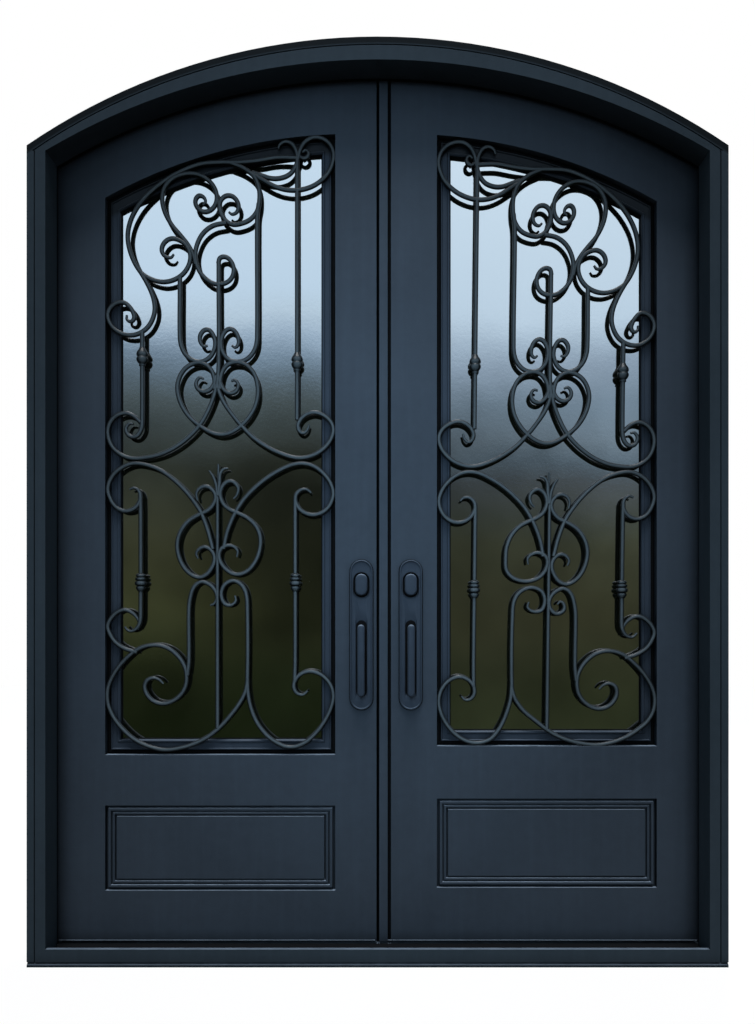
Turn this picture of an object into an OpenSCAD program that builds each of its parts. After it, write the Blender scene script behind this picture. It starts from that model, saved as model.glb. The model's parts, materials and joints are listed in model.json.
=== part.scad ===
// Arched double door of welded steel with scrolled wrought iron grilles.
// X runs across the opening, +Y into the building, +Z up. The origin is the middle
// of the threshold's underside. Both leaves swing inward on pins behind their inner faces.

/* [Frame] */
// Overall width of the frame
frame_w = 1840; // [1780:10:2100]
// Height to the top of the jambs, where the arch starts
spring_h = 2155; // [2100:5:2400]
// Rise of the arch's outer edge above the jambs
arch_rise = 285; // [260:5:310]
// Depth of the frame from outer face to inner face
frame_d = 150; // [140:5:200]
// Width of the jamb face that shows from outside
jamb_face_w = 49; // [44:1:60]
// Height of the head's face at the top of the arch
head_face_h = 60; // [52:1:70]
// Height of the threshold's raised outer bar
sill_bar_h = 47; // [40:1:55]
// Depth of the threshold's raised outer bar
sill_bar_d = 12; // [10:1:35]
// Height of the low part of the threshold, under the leaves
sill_h = 20; // [14:1:24]
// Height of the groove across the frame's foot
sill_groove_z = 6; // [4:1:12]
// Height and depth of that groove, whose lower side slopes outward
sill_groove_w = 7.5; // [3:0.5:8]
// Depth of the stop, from the outer face to where the seal starts
stop_d = 75; // [65:1:80]
// How far the rabbet that takes the leaf is cut back from the stop
rabbet = 14; // [12:1:16]
// Distance of the decorative groove from the frame's outer edge
groove_in = 19; // [15:1:22]
// Width and depth of the decorative groove
groove_w = 3; // [2:0.5:4]
// How much less the reveal's arch rises than the outer one
arch_drop = 46; // [40:1:52]
// Width of the rubber seal in the rabbet
seal_w = 9; // [6:1:12]
// Thickness of the seal, from the stop towards the leaf
seal_t = 16; // [10:1:18]

/* [Leaves] */
// Thickness of a leaf
leaf_t = 50; // [44:1:56]
// Gap round a leaf, to the rabbet and between the two leaves
leaf_gap = 6; // [5:0.5:8]
// Gap between the two leaves where they meet
meeting_gap = 7.6; // [7.6:0.2:10]
// Gap from the leaf's outer face to the stop's inner face
seal_gap = 23; // [20:1:26]
// Height of the leaf's lower edge above the floor
leaf_z = 31; // [28:1:40]
// Width of the left leaf's window
left_window_w = 631; // [560:1:640]
// Width of the right leaf's window
right_window_w = 603; // [560:1:610]
// Distance from the left window to the door's middle
left_lock_w = 117; // [110:1:130]
// Distance from the right window to the door's middle
right_lock_w = 162; // [150:1:170]
// Height of the left window's lower edge
left_window_z = 541; // [480:1:600]
// Height of the right window's lower edge
right_window_z = 565; // [480:1:600]
// Height of the leaf's face over the window's arch, measured from the reveal's arch
top_rail_h = 136; // [120:1:160]
// Radius of the window's arch
window_r = 1400; // [1300:10:1700]
// Distance from the door's middle to the window arch's centre
window_arch_x = 70; // [40:5:100]

/* [Kick panel] */
// Height of the left kick panel's lower edge
left_kick_z = 169; // [150:1:190]
// Height of the left kick panel
left_kick_h = 233; // [200:1:260]
// Height of the right kick panel's lower edge
right_kick_z = 177; // [150:1:190]
// Height of the right kick panel
right_kick_h = 244; // [200:1:260]
// Width of the moulding round the kick panel
moulding_w = 30; // [24:1:36]
// Depth of the sheet inside the moulding behind the leaf's faces
panel_in = 4; // [2:1:10]

/* [Window] */
// Width of the groove between the opening in the leaf and the sash's face
sash_groove_w = 12; // [10:1:16]
// Depth of that groove behind the leaf's outer face
sash_groove_d = 26; // [20:1:32]
// Width of the sash's face at the sides
sash_w = 25; // [20:1:32]
// Width of the sash's face at the top
sash_rail_w = 32; // [26:1:50]
// Width of the sash's face at the bottom
sash_sill_w = 28; // [22:1:50]
// Depth of the sash's face behind the leaf's outer face
sash_in = 14; // [14:1:18]
// Depth of the glass behind the leaf's outer face
glass_in = 29; // [20:1:32]
// Thickness of the glass
glass_t = 12; // [8:1:16]

/* [Grille] */
// Width of the scroll bars
bar_w = 13; // [10:0.5:16]
// Thickness of the scroll bars
bar_t = 13; // [10:0.5:13]
// Width of a scroll's tip
tip_w = 6; // [4:0.5:10]
// Radius of the turned collars on the straight bars
collar_r = 13.5; // [9:0.5:14]
// Height of a turned collar
collar_h = 48; // [36:1:60]
// How much lower the right grille's scrolls sit than the left one's
right_sag = 36; // [0:1:36]
// How far the right grille leans towards the hinges with height
right_lean = 8; // [0:1:8]
// How much further the right grille's lower hooks reach towards the lock
right_spread = 25; // [0:1:25]

/* [Handles] */
// Width of the handle's back plate
plate_w = 62; // [56:1:70]
// Height of the handle's back plate
plate_h = 410; // [380:5:440]
// Thickness of the back plate
plate_t = 6; // [5:0.5:9]
// Height of the back plate's middle
plate_z = 870; // [820:5:950]
// Distance from the window to the back plate's middle
plate_x = 72; // [68:1:80]
// Width of the rim round the back plate
rim_w = 5; // [3:0.5:8]
// How far the rim stands out from the back plate
rim_h = 3; // [1:0.5:4]
// Height of the middle of the lock's cover
lock_z = 1007; // [990:1:1030]
// Height of the pull's middle
pull_z = 801; // [780:1:830]
// Length of the pull
pull_h = 195; // [180:5:230]
// Width of the pull
pull_w = 20; // [16:1:28]
// Clear gap behind the pull, for fingers
pull_gap = 32; // [28:1:45]
// Thickness of the pull
pull_t = 14; // [10:1:18]
// Distance of the pull's posts from its ends
post_in = 18; // [12:1:24]
// Width of the lock's cover
cover_w = 34; // [30:1:44]
// Height of the lock's cover
cover_h = 60; // [50:1:80]
// How far the lock's cover stands out from the back plate
cover_t = 14; // [8:1:18]

/* [Hinges] */
// Radius of the hinge barrels
knuckle_r = 10; // [8:0.5:12]
// Radius of the hinge pins
pin_r = 5; // [4:0.5:6]
// Height of one hinge
hinge_h = 120; // [90:5:150]
// Width of the tab that welds a barrel to the jamb or the leaf
tab_w = 30; // [24:1:40]
// Thickness of the tab
tab_t = 4; // [3:0.5:6]
// Height of the lowest hinge's middle
hinge_low = 260; // [230:5:400]
// Distance of the highest hinge's middle below the top of the jambs
hinge_drop = 255; // [200:5:400]

/* [Astragal] */
// Width of the strip that covers the right leaf's edge
strip_w = 23; // [20:1:28]
// How far the strip stands out from the leaf
strip_h = 4; // [2:0.5:5]
// Width of the groove beside the strip
strip_groove_w = 9; // [6:1:12]
// Depth of the groove beside the strip
strip_groove_d = 12; // [6:1:20]

/* [Hidden] */
$fn = 48;
ARCH_FN = 720;      // the arches are large, so their circles need many sides
CUT = 1;            // how far a cutter reaches past what it cuts
BARREL_GAP = 1;     // between a hinge's two barrels, and from the leaf to the barrels
PIN_PLAY = 0.1;     // round a hinge pin

PAINT = "#3b4650";
DARK = "#20262c";
RUBBER = "#15171a";
GLASS = "#b7cbd8";
STEEL = "#6d7780";

// The frame's outer face is at the front, half its depth before the origin.
front_y = -frame_d / 2;
back_y = frame_d / 2;
stop_y = front_y + stop_d;
face_y = stop_y + seal_gap;      // outer face of the leaves
inner_y = face_y + leaf_t;       // inner face of the leaves
jamb_x = frame_w / 2;
stop_x = jamb_x - jamb_face_w;   // the reveal's side
rabbet_x = stop_x + rabbet;
leaf_x = rabbet_x - leaf_gap;    // a leaf's hinge edge
meet_x = meeting_gap / 2;        // a leaf's meeting edge
hinge_x = rabbet_x - leaf_gap / 2;
hinge_y = back_y + knuckle_r + BARREL_GAP;

// Radius of an arch from its half width and rise.
function arch_r(half, rise) = (half * half + rise * rise) / (2 * rise);

outer_r = arch_r(jamb_x, arch_rise);
arch_top = spring_h + arch_rise;
outer_cz = arch_top - outer_r;
// The reveal's arch is a little flatter than the outer one, so that the head's face
// is widest at the top.
reveal_top = arch_top - head_face_h;
reveal_rise = arch_rise - arch_drop;
reveal_r = arch_r(stop_x, reveal_rise);
reveal_cz = reveal_top - reveal_r;
joint_z = reveal_top - reveal_rise;   // the jambs end here and the head starts
rabbet_r = reveal_r + rabbet;
leaf_r = rabbet_r - leaf_gap;

// Turns a drawing in X and Z into a plate between two depths.
module plate(y0, y1) {
    translate([0, y1, 0]) rotate([90, 0, 0]) linear_extrude(y1 - y0) children();
}

// The part of a round arch over a given height, between two sides.
module under_arch(r, cz, x0, x1, z0) {
    intersection() {
        translate([0, cz]) circle(r, $fn = ARCH_FN);
        translate([x0, z0]) square([x1 - x0, cz + r - z0]);
    }
}

module outer_shape() { under_arch(outer_r, outer_cz, -jamb_x, jamb_x, joint_z); }

// ---- frame ----

module foot_groove() {
    translate([-jamb_x - CUT, front_y, sill_groove_z]) rotate([90, 0, 90])
        linear_extrude(2 * (jamb_x + CUT))
            polygon([[-CUT, -CUT], [sill_groove_w, sill_groove_w], [-CUT, sill_groove_w]]);
}

module left_jamb() {
    color(PAINT) difference() {
        union() {
            translate([-jamb_x, front_y, 0])
                cube([jamb_face_w, stop_d, joint_z]);
            translate([-jamb_x, stop_y, 0])
                cube([jamb_face_w - rabbet, frame_d - stop_d, joint_z]);
        }
        translate([-jamb_x + groove_in, front_y - groove_w, sill_groove_z + sill_groove_w])
            cube([groove_w, 2 * groove_w, joint_z]);
        foot_groove();
    }
}

module right_jamb() { mirror([1, 0, 0]) left_jamb(); }

module head_arch() {
    color(PAINT) {
        difference() {
            plate(front_y, stop_y) difference() {
                outer_shape();
                under_arch(reveal_r, reveal_cz, -stop_x, stop_x, joint_z - CUT);
            }
            plate(front_y - CUT, front_y + groove_w) difference() {
                translate([0, outer_cz]) circle(outer_r - groove_in, $fn = ARCH_FN);
                translate([0, outer_cz]) circle(outer_r - groove_in - groove_w, $fn = ARCH_FN);
            }
        }
        plate(stop_y, back_y) difference() {
            outer_shape();
            rabbet_outline(0, joint_z - CUT);
        }
    }
}

module threshold() {
    sill_w = 2 * stop_x;
    color(PAINT) difference() {
        union() {
            translate([-stop_x, front_y, 0]) cube([sill_w, sill_bar_d, sill_bar_h]);
            translate([-stop_x, front_y, 0]) cube([sill_w, stop_d, sill_h]);
            translate([-rabbet_x, stop_y, 0]) cube([2 * rabbet_x, frame_d - stop_d, sill_h]);
        }
        foot_groove();
    }
}

// The rabbet's opening, drawn in by a margin at the sides and the top.
module rabbet_outline(in, z0) {
    under_arch(rabbet_r - in, reveal_cz, in - rabbet_x, rabbet_x - in, z0);
}

module weather_seal() {
    color(RUBBER) plate(stop_y, stop_y + seal_t) difference() {
        rabbet_outline(0, sill_h);
        rabbet_outline(seal_w, sill_h - CUT);
    }
}

// ---- hinges ----

hinge_high = spring_h - hinge_drop;
HINGES = [hinge_low, (hinge_low + hinge_high) / 2, hinge_high];
barrel_h = (hinge_h - BARREL_GAP) / 2;

// Lower barrel with the pin, and the tab that welds it to the jamb.
module frame_hinges() {
    color(STEEL) for (z = HINGES) {
        translate([-hinge_x, hinge_y, z - hinge_h / 2]) {
            cylinder(r = knuckle_r, h = barrel_h);
            cylinder(r = pin_r, h = hinge_h - tab_t);
        }
        translate([-hinge_x - tab_w, back_y, z - hinge_h / 2])
            cube([tab_w, tab_t, barrel_h]);
    }
}

module left_hinge_barrels() { frame_hinges(); }
module right_hinge_barrels() { mirror([1, 0, 0]) frame_hinges(); }

// Upper barrel, bored for the pin, and its tab on the leaf.
module leaf_hinges() {
    color(STEEL) for (z = HINGES) translate([-hinge_x, 0, z + BARREL_GAP / 2]) difference() {
        union() {
            translate([0, hinge_y, 0]) cylinder(r = knuckle_r, h = barrel_h);
            translate([0, inner_y, 0]) cube([tab_w, tab_t, barrel_h]);
            translate([0, inner_y, 0]) cube([knuckle_r, hinge_y - inner_y, barrel_h]);
        }
        translate([0, hinge_y, -CUT]) cylinder(r = pin_r + PIN_PLAY, h = barrel_h + 2 * CUT);
    }
}

// ---- leaves; drawn as the left one, side = -1, and mirrored for the right ----

function lock_w(side) = side < 0 ? left_lock_w : right_lock_w;
function window_w(side) = side < 0 ? left_window_w : right_window_w;
function window_z(side) = side < 0 ? left_window_z : right_window_z;
function kick_z(side) = side < 0 ? left_kick_z : right_kick_z;
function kick_h(side) = side < 0 ? left_kick_h : right_kick_h;
function window_x1(side) = -lock_w(side);                    // side near the lock
function window_x0(side) = -lock_w(side) - window_w(side);   // side near the hinges
function strip_edge(side) = side < 0 ? 0 : strip_w + strip_groove_w;
window_top_z = reveal_top - top_rail_h;
window_arch_z = window_top_z - window_r;   // height of the window arch's centre
glass_margin = sash_groove_w + sash_w;     // from the opening's sides to the glass
glass_rail = sash_groove_w + sash_rail_w;  // from its top to the glass
glass_sill = sash_groove_w + sash_sill_w;  // from its bottom to the glass

module leaf_outline() {
    under_arch(leaf_r, reveal_cz, -leaf_x, -meet_x, leaf_z);
}

// The window's opening, drawn in by margins at the sides, the top and the bottom.
module window_outline(side, margin = 0, top = 0, foot = 0) {
    x0 = window_x0(side) + margin;
    x1 = window_x1(side) - margin;
    intersection() {
        translate([-window_arch_x, window_arch_z]) circle(window_r - top, $fn = ARCH_FN);
        translate([x0, window_z(side) + foot]) square([x1 - x0, window_top_z]);
    }
}

// The strip of a leaf between two sides, up to the arch.
module leaf_slice(x0, x1) {
    intersection() {
        leaf_outline();
        translate([x0, 0]) square([x1 - x0, arch_top]);
    }
}

module stile(x0, x1) { color(PAINT) plate(face_y, inner_y) leaf_slice(x0, x1); }

module hinge_stile(side) { stile(-leaf_x, window_x0(side)); }
module lock_stile(side) { stile(window_x1(side), -meet_x - strip_edge(side)); }

// The part of the leaf over the window's arch.
module top_rail(side) {
    color(PAINT) plate(face_y, inner_y) difference() {
        leaf_slice(window_x0(side), window_x1(side));
        translate([-window_arch_x, window_arch_z]) circle(window_r, $fn = ARCH_FN);
        translate([-jamb_x, 0]) square([jamb_x, window_arch_z]);
    }
}

// One rail under the kick panel and one between it and the window.
module lower_rails(side) {
    kick_top = kick_z(side) + kick_h(side);
    color(PAINT) translate([window_x0(side), face_y, 0]) {
        translate([0, 0, leaf_z]) cube([window_w(side), leaf_t, kick_z(side) - leaf_z]);
        translate([0, 0, kick_top]) cube([window_w(side), leaf_t, window_z(side) - kick_top]);
    }
}

// A block that fills the kick panel's place, drawn in by a margin and set behind both
// of the leaf's faces.
module kick_block(side, margin, in) {
    translate([window_x0(side) + margin, face_y + in, kick_z(side) + margin])
        cube([window_w(side) - 2 * margin, leaf_t - 2 * in, kick_h(side) - 2 * margin]);
}

module kick_panel(side) { color(PAINT) kick_block(side, moulding_w, panel_in); }

// Grooves and ridges of the moulding from its outer edge inward, as the place where
// each starts, in shares of the moulding's width, and its depth behind the leaf's face.
MOULDING_STEPS = [[0, 12], [0.25, 2], [0.5, 8], [0.65, 4], [0.85, 10], [1, 0]];

module kick_mouldings(side) {
    color(PAINT) for (k = [0 : len(MOULDING_STEPS) - 2]) difference() {
        kick_block(side, moulding_w * MOULDING_STEPS[k][0], MOULDING_STEPS[k][1]);
        kick_block(side, moulding_w * MOULDING_STEPS[k + 1][0], -CUT);
    }
}

// A flange against the opening, and inside it the thicker frame that holds the glass.
module sash(side) {
    color(DARK) {
        plate(face_y + sash_groove_d, inner_y) difference() {
            window_outline(side);
            window_outline(side, glass_margin, glass_rail, glass_sill);
        }
        plate(face_y + sash_in, face_y + sash_groove_d) difference() {
            window_outline(side, sash_groove_w, sash_groove_w, sash_groove_w);
            window_outline(side, glass_margin, glass_rail, glass_sill);
        }
    }
}

module glass(side) {
    color(GLASS) plate(face_y + glass_in, face_y + glass_in + glass_t)
        window_outline(side, glass_margin, glass_rail, glass_sill);
}

// ---- scrollwork ----
// Each bar is a smooth curve through a few points of a pattern, measured across from the
// window's middle and up from its lower edge; positive is towards the lock. The outermost
// bars, welded to the opening's sides, lie the pattern's width apart, and its height is
// that of the window.
PATTERN = [600, 1675];
WELD = 1.5;         // how far the outermost bars are dressed flat against the opening
CURVE_STEPS = 3;
TAPER_STEPS = 9;

// Bars of the upper half as [points, thin at the start, thin at the end].
UPPER_BARS = [
    // sweep under the arch, down the hinge side and round the lower circle
    [[[203, 1613], [150, 1614], [100, 1606], [50, 1601], [0, 1601], [-50, 1597],
      [-100, 1579], [-150, 1550], [-200, 1507], [-232, 1460], [-246, 1410], [-240, 1360],
      [-215, 1308], [-185, 1286], [-150, 1278], [-115, 1288], [-90, 1312], [-80, 1345],
      [-90, 1375], [-110, 1391], [-132, 1395], [-150, 1383], [-156, 1363], [-147, 1347],
      [-132, 1344], [-124, 1353]], false, true],
    // branch from it to the scroll at the hinge side
    [[[-222, 1320], [-198, 1280], [-182, 1245], [-175, 1215], [-177, 1188], [-190, 1160],
      [-210, 1142], [-235, 1134], [-262, 1138], [-286, 1155], [-299, 1182], [-294, 1205],
      [-277, 1220], [-256, 1222], [-241, 1210], [-232, 1195], [-229, 1181], [-237, 1171],
      [-248, 1176], [-249, 1188]], false, true],
    // tall scroll left of the middle
    [[[-66, 1325], [-72, 1350], [-86, 1378], [-106, 1404], [-130, 1433], [-148, 1467],
      [-155, 1500], [-150, 1530], [-131, 1555], [-100, 1569], [-66, 1570], [-36, 1556],
      [-16, 1532], [-10, 1505], [-16, 1483], [-33, 1469], [-52, 1470], [-65, 1485],
      [-66, 1501], [-57, 1511], [-45, 1507], [-40, 1495], [-47, 1486]], false, true],
    // small scroll right of the middle
    [[[25, 1601], [60, 1586], [88, 1564], [101, 1535], [103, 1500], [97, 1470],
      [80, 1448], [55, 1436], [30, 1434], [9, 1449], [-3, 1475], [0, 1497], [13, 1510],
      [30, 1510], [43, 1498], [48, 1481], [43, 1467], [31, 1461], [22, 1467]], false, true],
    // round scroll in the middle
    [[[15, 1438], [-20, 1430], [-46, 1410], [-62, 1380], [-67, 1348], [-60, 1315],
      [-42, 1289], [-16, 1273], [10, 1274], [28, 1287], [35, 1308], [30, 1330],
      [15, 1345], [-1, 1343], [-6, 1328]], false, false],
    // stem from the round scroll up to the small one
    [[[-10, 1505], [-2, 1480], [4, 1460], [15, 1440]], false, false],
    // loop in the top corner
    [[[82, 1571], [110, 1555], [140, 1538], [170, 1528], [203, 1526], [235, 1533],
      [262, 1548], [285, 1572], [298, 1602], [299, 1628], [288, 1652], [268, 1666],
      [245, 1668], [225, 1657], [212, 1637], [205, 1608]], false, false],
    // straight bar at the lock side
    [[[203, 1622], [203, 905]], false, false],
    // hook beside the loop
    [[[153, 1638], [158, 1650], [172, 1657], [188, 1652], [199, 1636], [204, 1612],
      [199, 1590], [183, 1569], [160, 1559], [135, 1558], [108, 1566], [84, 1574]],
      true, false],
    // little curl inside the loop
    [[[203, 1604], [210, 1592], [219, 1579], [231, 1573], [243, 1580], [246, 1593],
      [237, 1602], [227, 1597]], false, true],
    // straight bar right of the middle and its curl
    [[[101, 1490], [97, 1450], [97, 1130], [93, 1102], [82, 1081], [64, 1066],
      [42, 1062], [22, 1068], [7, 1085], [1, 1108], [4, 1130], [14, 1146], [27, 1151],
      [40, 1142], [47, 1126], [47, 1110], [39, 1101], [30, 1106]], false, true],
    // straight bar left of the middle and its curl
    [[[-108, 1292], [-108, 1250], [-108, 1130], [-104, 1104], [-93, 1082], [-75, 1067],
      [-54, 1062], [-34, 1070], [-20, 1087], [-14, 1110], [-19, 1133], [-31, 1148],
      [-44, 1147], [-54, 1133], [-54, 1116], [-45, 1104], [-34, 1106]], false, true],
    // middle bar
    [[[-5, 1330], [-5, 1280], [-5, 1050], [-10, 990]], false, false],
    // heart-shaped loop
    [[[-16, 988], [-17, 1018], [-28, 1044], [-52, 1059], [-80, 1054], [-102, 1034],
      [-114, 1002], [-112, 970], [-100, 938], [-80, 910], [-52, 887], [-25, 871],
      [0, 865], [25, 870], [52, 887], [76, 913], [93, 945], [99, 978], [96, 1010],
      [85, 1036], [65, 1055], [42, 1061], [20, 1055], [5, 1036], [-1, 1012],
      [-2, 988]], false, false],
    // curls inside the heart
    [[[-12, 1025], [-17, 1003], [-28, 987], [-44, 981], [-60, 989], [-65, 1005],
      [-56, 1019], [-45, 1016]], false, true],
    [[[-6, 1025], [0, 1002], [9, 986], [25, 977], [41, 983], [47, 999], [39, 1012],
      [28, 1010]], false, true],
    // long scroll to the hinge side
    [[[-11, 1000], [-16, 975], [-28, 942], [-45, 907], [-63, 881], [-92, 852],
      [-127, 827], [-162, 811], [-197, 803], [-235, 801], [-266, 812], [-289, 835],
      [-299, 866], [-294, 895], [-276, 916], [-252, 923], [-230, 915], [-212, 898]],
      false, false],
    // long scroll to the lock side
    [[[-8, 1000], [-3, 978], [10, 950], [29, 922], [54, 891], [86, 858], [125, 831],
      [165, 812], [205, 802], [242, 808], [272, 826], [293, 853], [299, 880], [290, 903],
      [270, 919], [246, 925], [222, 916], [207, 896], [207, 879], [218, 869],
      [229, 876], [235, 892]], false, true],
    // straight bar at the hinge side and its curl
    [[[-208, 1143], [-208, 1100], [-208, 905], [-211, 878], [-225, 860], [-242, 862],
      [-251, 879], [-243, 894], [-231, 894]], false, true],
];

// Bars of the lower half.
LOWER_BARS = [
    // top scroll at the hinge side
    [[[-21, 556], [-32, 600], [-45, 638], [-55, 660], [-75, 690], [-100, 720],
      [-130, 748], [-162, 770], [-197, 783], [-231, 787], [-263, 775], [-287, 752],
      [-299, 720], [-292, 690], [-275, 667], [-251, 658], [-227, 667], [-213, 689],
      [-216, 711], [-229, 721], [-241, 717]], false, true],
    // top scroll at the lock side
    [[[8, 556], [15, 592], [26, 625], [41, 657], [62, 690], [91, 721], [121, 746],
      [152, 766], [186, 782], [216, 787], [246, 780], [272, 761], [291, 735],
      [299, 705], [290, 675], [270, 655], [243, 648], [216, 658], [200, 680],
      [200, 701], [212, 715], [228, 717], [240, 708]], false, true],
    // double scroll left of the middle
    [[[-61, 686], [-64, 704], [-56, 719], [-39, 725], [-23, 717], [-13, 698],
      [-19, 676], [-35, 659], [-60, 647], [-88, 628], [-108, 598], [-115, 563],
      [-107, 525], [-88, 495], [-60, 479], [-38, 486], [-22, 507], [-16, 530],
      [-23, 550], [-40, 561], [-56, 556], [-64, 543], [-60, 530]], true, true],
    // double scroll right of the middle
    [[[34, 691], [43, 701], [47, 718], [38, 734], [22, 739], [6, 727], [-1, 703], [7, 678],
      [25, 662], [48, 652], [75, 637], [97, 612], [106, 580], [102, 546], [89, 516],
      [68, 494], [40, 487], [15, 500], [-2, 525], [-2, 550], [14, 564], [33, 563],
      [45, 550], [43, 534]], true, true],
    // hooked straight bar left of the middle
    [[[-27, 403], [-15, 410], [-10, 428], [-17, 448], [-33, 462], [-52, 467],
      [-70, 453], [-80, 425], [-84, 390], [-84, 255], [-88, 215]], true, false],
    // hooked bar right of the middle, sweeping round the big scroll
    [[[38, 430], [40, 415], [28, 404], [12, 407], [3, 423], [3, 443], [13, 461],
      [33, 470], [53, 461], [66, 440], [71, 405], [71, 205], [65, 168], [46, 132],
      [20, 98], [-6, 70], [-35, 47], [-70, 29], [-110, 17], [-150, 13], [-190, 22],
      [-227, 40], [-258, 67], [-284, 101], [-299, 140], [-298, 182], [-279, 224],
      [-250, 260], [-215, 287], [-177, 296], [-143, 289], [-114, 267], [-95, 237],
      [-90, 205], [-97, 175], [-117, 151], [-145, 138], [-171, 141], [-191, 156],
      [-201, 179], [-196, 199], [-180, 207], [-163, 202], [-152, 191]], true, true],
    // scroll at the hinge side above the big one
    [[[-219, 338], [-217, 361], [-233, 382], [-257, 391], [-282, 378], [-299, 350],
      [-293, 325], [-278, 303], [-255, 287], [-222, 276]], true, false],
    // straight bar at the hinge side and its curl
    [[[-213, 700], [-212, 660], [-212, 385], [-214, 357], [-225, 339], [-242, 334],
      [-255, 345]], false, true],
    // scroll in the lower corner at the lock side
    [[[71, 205], [73, 165], [81, 125], [97, 86], [121, 54], [151, 31], [185, 20],
      [220, 30], [251, 56], [277, 92], [294, 130], [299, 163], [289, 193], [266, 216],
      [237, 225], [212, 217], [197, 199], [195, 179], [204, 165], [219, 162],
      [231, 172]], false, true],
    // straight bar at the lock side
    [[[198, 690], [198, 640], [198, 260], [197, 200]], false, false],
    // middle bar and its barbed tip
    [[[-8, 72], [-8, 120], [-8, 700], [-6, 740], [-6, 785]], false, true],
    [[[-6, 700], [-3, 735], [-1, 758], [7, 771], [20, 774]], false, true],
    [[[-8, 700], [-12, 730], [-20, 752], [-30, 767]], false, true],
];

// Middles of the turned collars on the straight bars; the right leaf's upper ones sit a
// little differently.
LEFT_COLLARS = [[-208, 1076], [203, 1062]];
RIGHT_COLLARS = [[-208, 1060], [203, 1083]];
LOWER_COLLARS = [[-212, 466], [198, 466]];

// The right grille differs a little from the left one: its scrolls sit lower, lean
// towards the hinges with height, and the hooks of its lower half reach further to the
// lock. These lengths and shares of the pattern say where each difference fades.
SAG_FOOT = 150;
SAG_HEAD = 350;
FOOT_SHARE = 0.2;   // what is left of the drop at the window's lower edge
HEAD_SHARE = 0.35;  // and at its arch
LEAN_V = 670;       // the height where the lean is nothing
LEAN_SIDE = 60;
HOOK_U = 85;
HOOK_REACH = 70;
HOOK_V = 600;
HOOK_FADE = 100;

function sag(p) = right_sag * min(1, FOOT_SHARE + p[1] / SAG_FOOT,
    HEAD_SHARE + (PATTERN[1] - p[1]) / SAG_HEAD);
function lean(p) = right_lean * (p[1] / LEAN_V - 1)
    * min(1, (PATTERN[0] / 2 - abs(p[0])) / LEAN_SIDE);
function spread(p) = right_spread * max(0, 1 - abs(p[0] - HOOK_U) / HOOK_REACH)
    * min(1, max(0, (HOOK_V - p[1]) / HOOK_FADE));
function shifted(side, p) = side < 0 ? p : p + [spread(p) - lean(p), -sag(p)];

// Place on a leaf of a point of the pattern.
function bar_point(side, p) = let (q = shifted(side, p)) [
    (window_x0(side) + window_x1(side)) / 2
        + q[0] * (window_w(side) - bar_w + 2 * WELD) / PATTERN[0],
    window_z(side) + q[1] * (window_top_z - window_z(side)) / PATTERN[1]];

// Direction of the curve at a point: along the line between its neighbours.
function heading(p, i) = let (v = p[min(i + 1, len(p) - 1)] - p[max(i - 1, 0)]) v / norm(v);

// Point a share t of the way from p[i] to p[i + 1], leaving each along its heading.
function between(p, i, t) = let (
    span = p[i + 1] - p[i],
    m0 = norm(span) * heading(p, i),
    m1 = norm(span) * heading(p, i + 1))
    p[i] + t * m0 + t * t * (3 * span - 2 * m0 - m1) + t * t * t * (m0 + m1 - 2 * span);

function smooth(p) = concat(
    [for (i = [0 : len(p) - 2], k = [0 : CURVE_STEPS - 1]) between(p, i, k / CURVE_STEPS)],
    [p[len(p) - 1]]);

function turned(v) = [-v[1], v[0]];

// Half the bar's width at one of n steps: full in the middle, thin at a tip.
function half_width(i, n, tip0, tip1) = let (
    full0 = tip0 ? min(1, i / TAPER_STEPS) : 1,
    full1 = tip1 ? min(1, (n - 1 - i) / TAPER_STEPS) : 1)
    (tip_w + (bar_w - tip_w) * min(full0, full1)) / 2;

function bar_edge(p, s, tip0, tip1) = [for (i = [0 : len(p) - 1])
    p[i] + s * half_width(i, len(p), tip0, tip1) * turned(heading(p, i))];

function backwards(p) = [for (i = [len(p) - 1 : -1 : 0]) p[i]];

module bar(side, points, tip0, tip1) {
    p = smooth([for (q = points) bar_point(side, q)]);
    polygon(concat(bar_edge(p, 1, tip0, tip1), backwards(bar_edge(p, -1, tip0, tip1))));
}

// Three turned rings round a straight bar.
module collar() {
    ring_h = collar_h / 3;
    cylinder(r = collar_r - ring_h / 4, h = collar_h, center = true);
    for (k = [-1, 0, 1]) translate([0, 0, k * ring_h])
        cylinder(r = collar_r, h = 0.7 * ring_h, center = true);
}

// The bars are dressed flat where they are welded to the window's opening.
module grille(side, bars, collars) {
    color(DARK) {
        plate(face_y, face_y + bar_t) intersection() {
            union() for (b = bars) bar(side, b[0], b[1], b[2]);
            window_outline(side);
        }
        for (c = collars) let (p = bar_point(side, c))
            translate([p[0], face_y + bar_t / 2, p[1]]) collar();
    }
}

module upper_grille(side) { grille(side, UPPER_BARS, side < 0 ? LEFT_COLLARS : RIGHT_COLLARS); }
module lower_grille(side) { grille(side, LOWER_BARS, LOWER_COLLARS); }

// ---- handles ----

function handle_x(side) = window_x1(side) + plate_x;

module stadium(w, h) {
    square([w, h - w], center = true);
    for (s = [-1, 1]) translate([0, s * (h - w) / 2]) circle(d = w);
}

module both_faces(side, x, z) {
    for (outer = [0, 1])
        translate([x, outer ? face_y : inner_y, z]) mirror([0, outer, 0]) children();
}

// A back plate with a raised rim.
module handle_plates(side) {
    color(DARK) both_faces(side, handle_x(side), plate_z) difference() {
        plate(0, plate_t + rim_h) stadium(plate_w, plate_h);
        plate(plate_t, plate_t + rim_h + CUT) stadium(plate_w - 2 * rim_w, plate_h - 2 * rim_w);
    }
}

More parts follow.
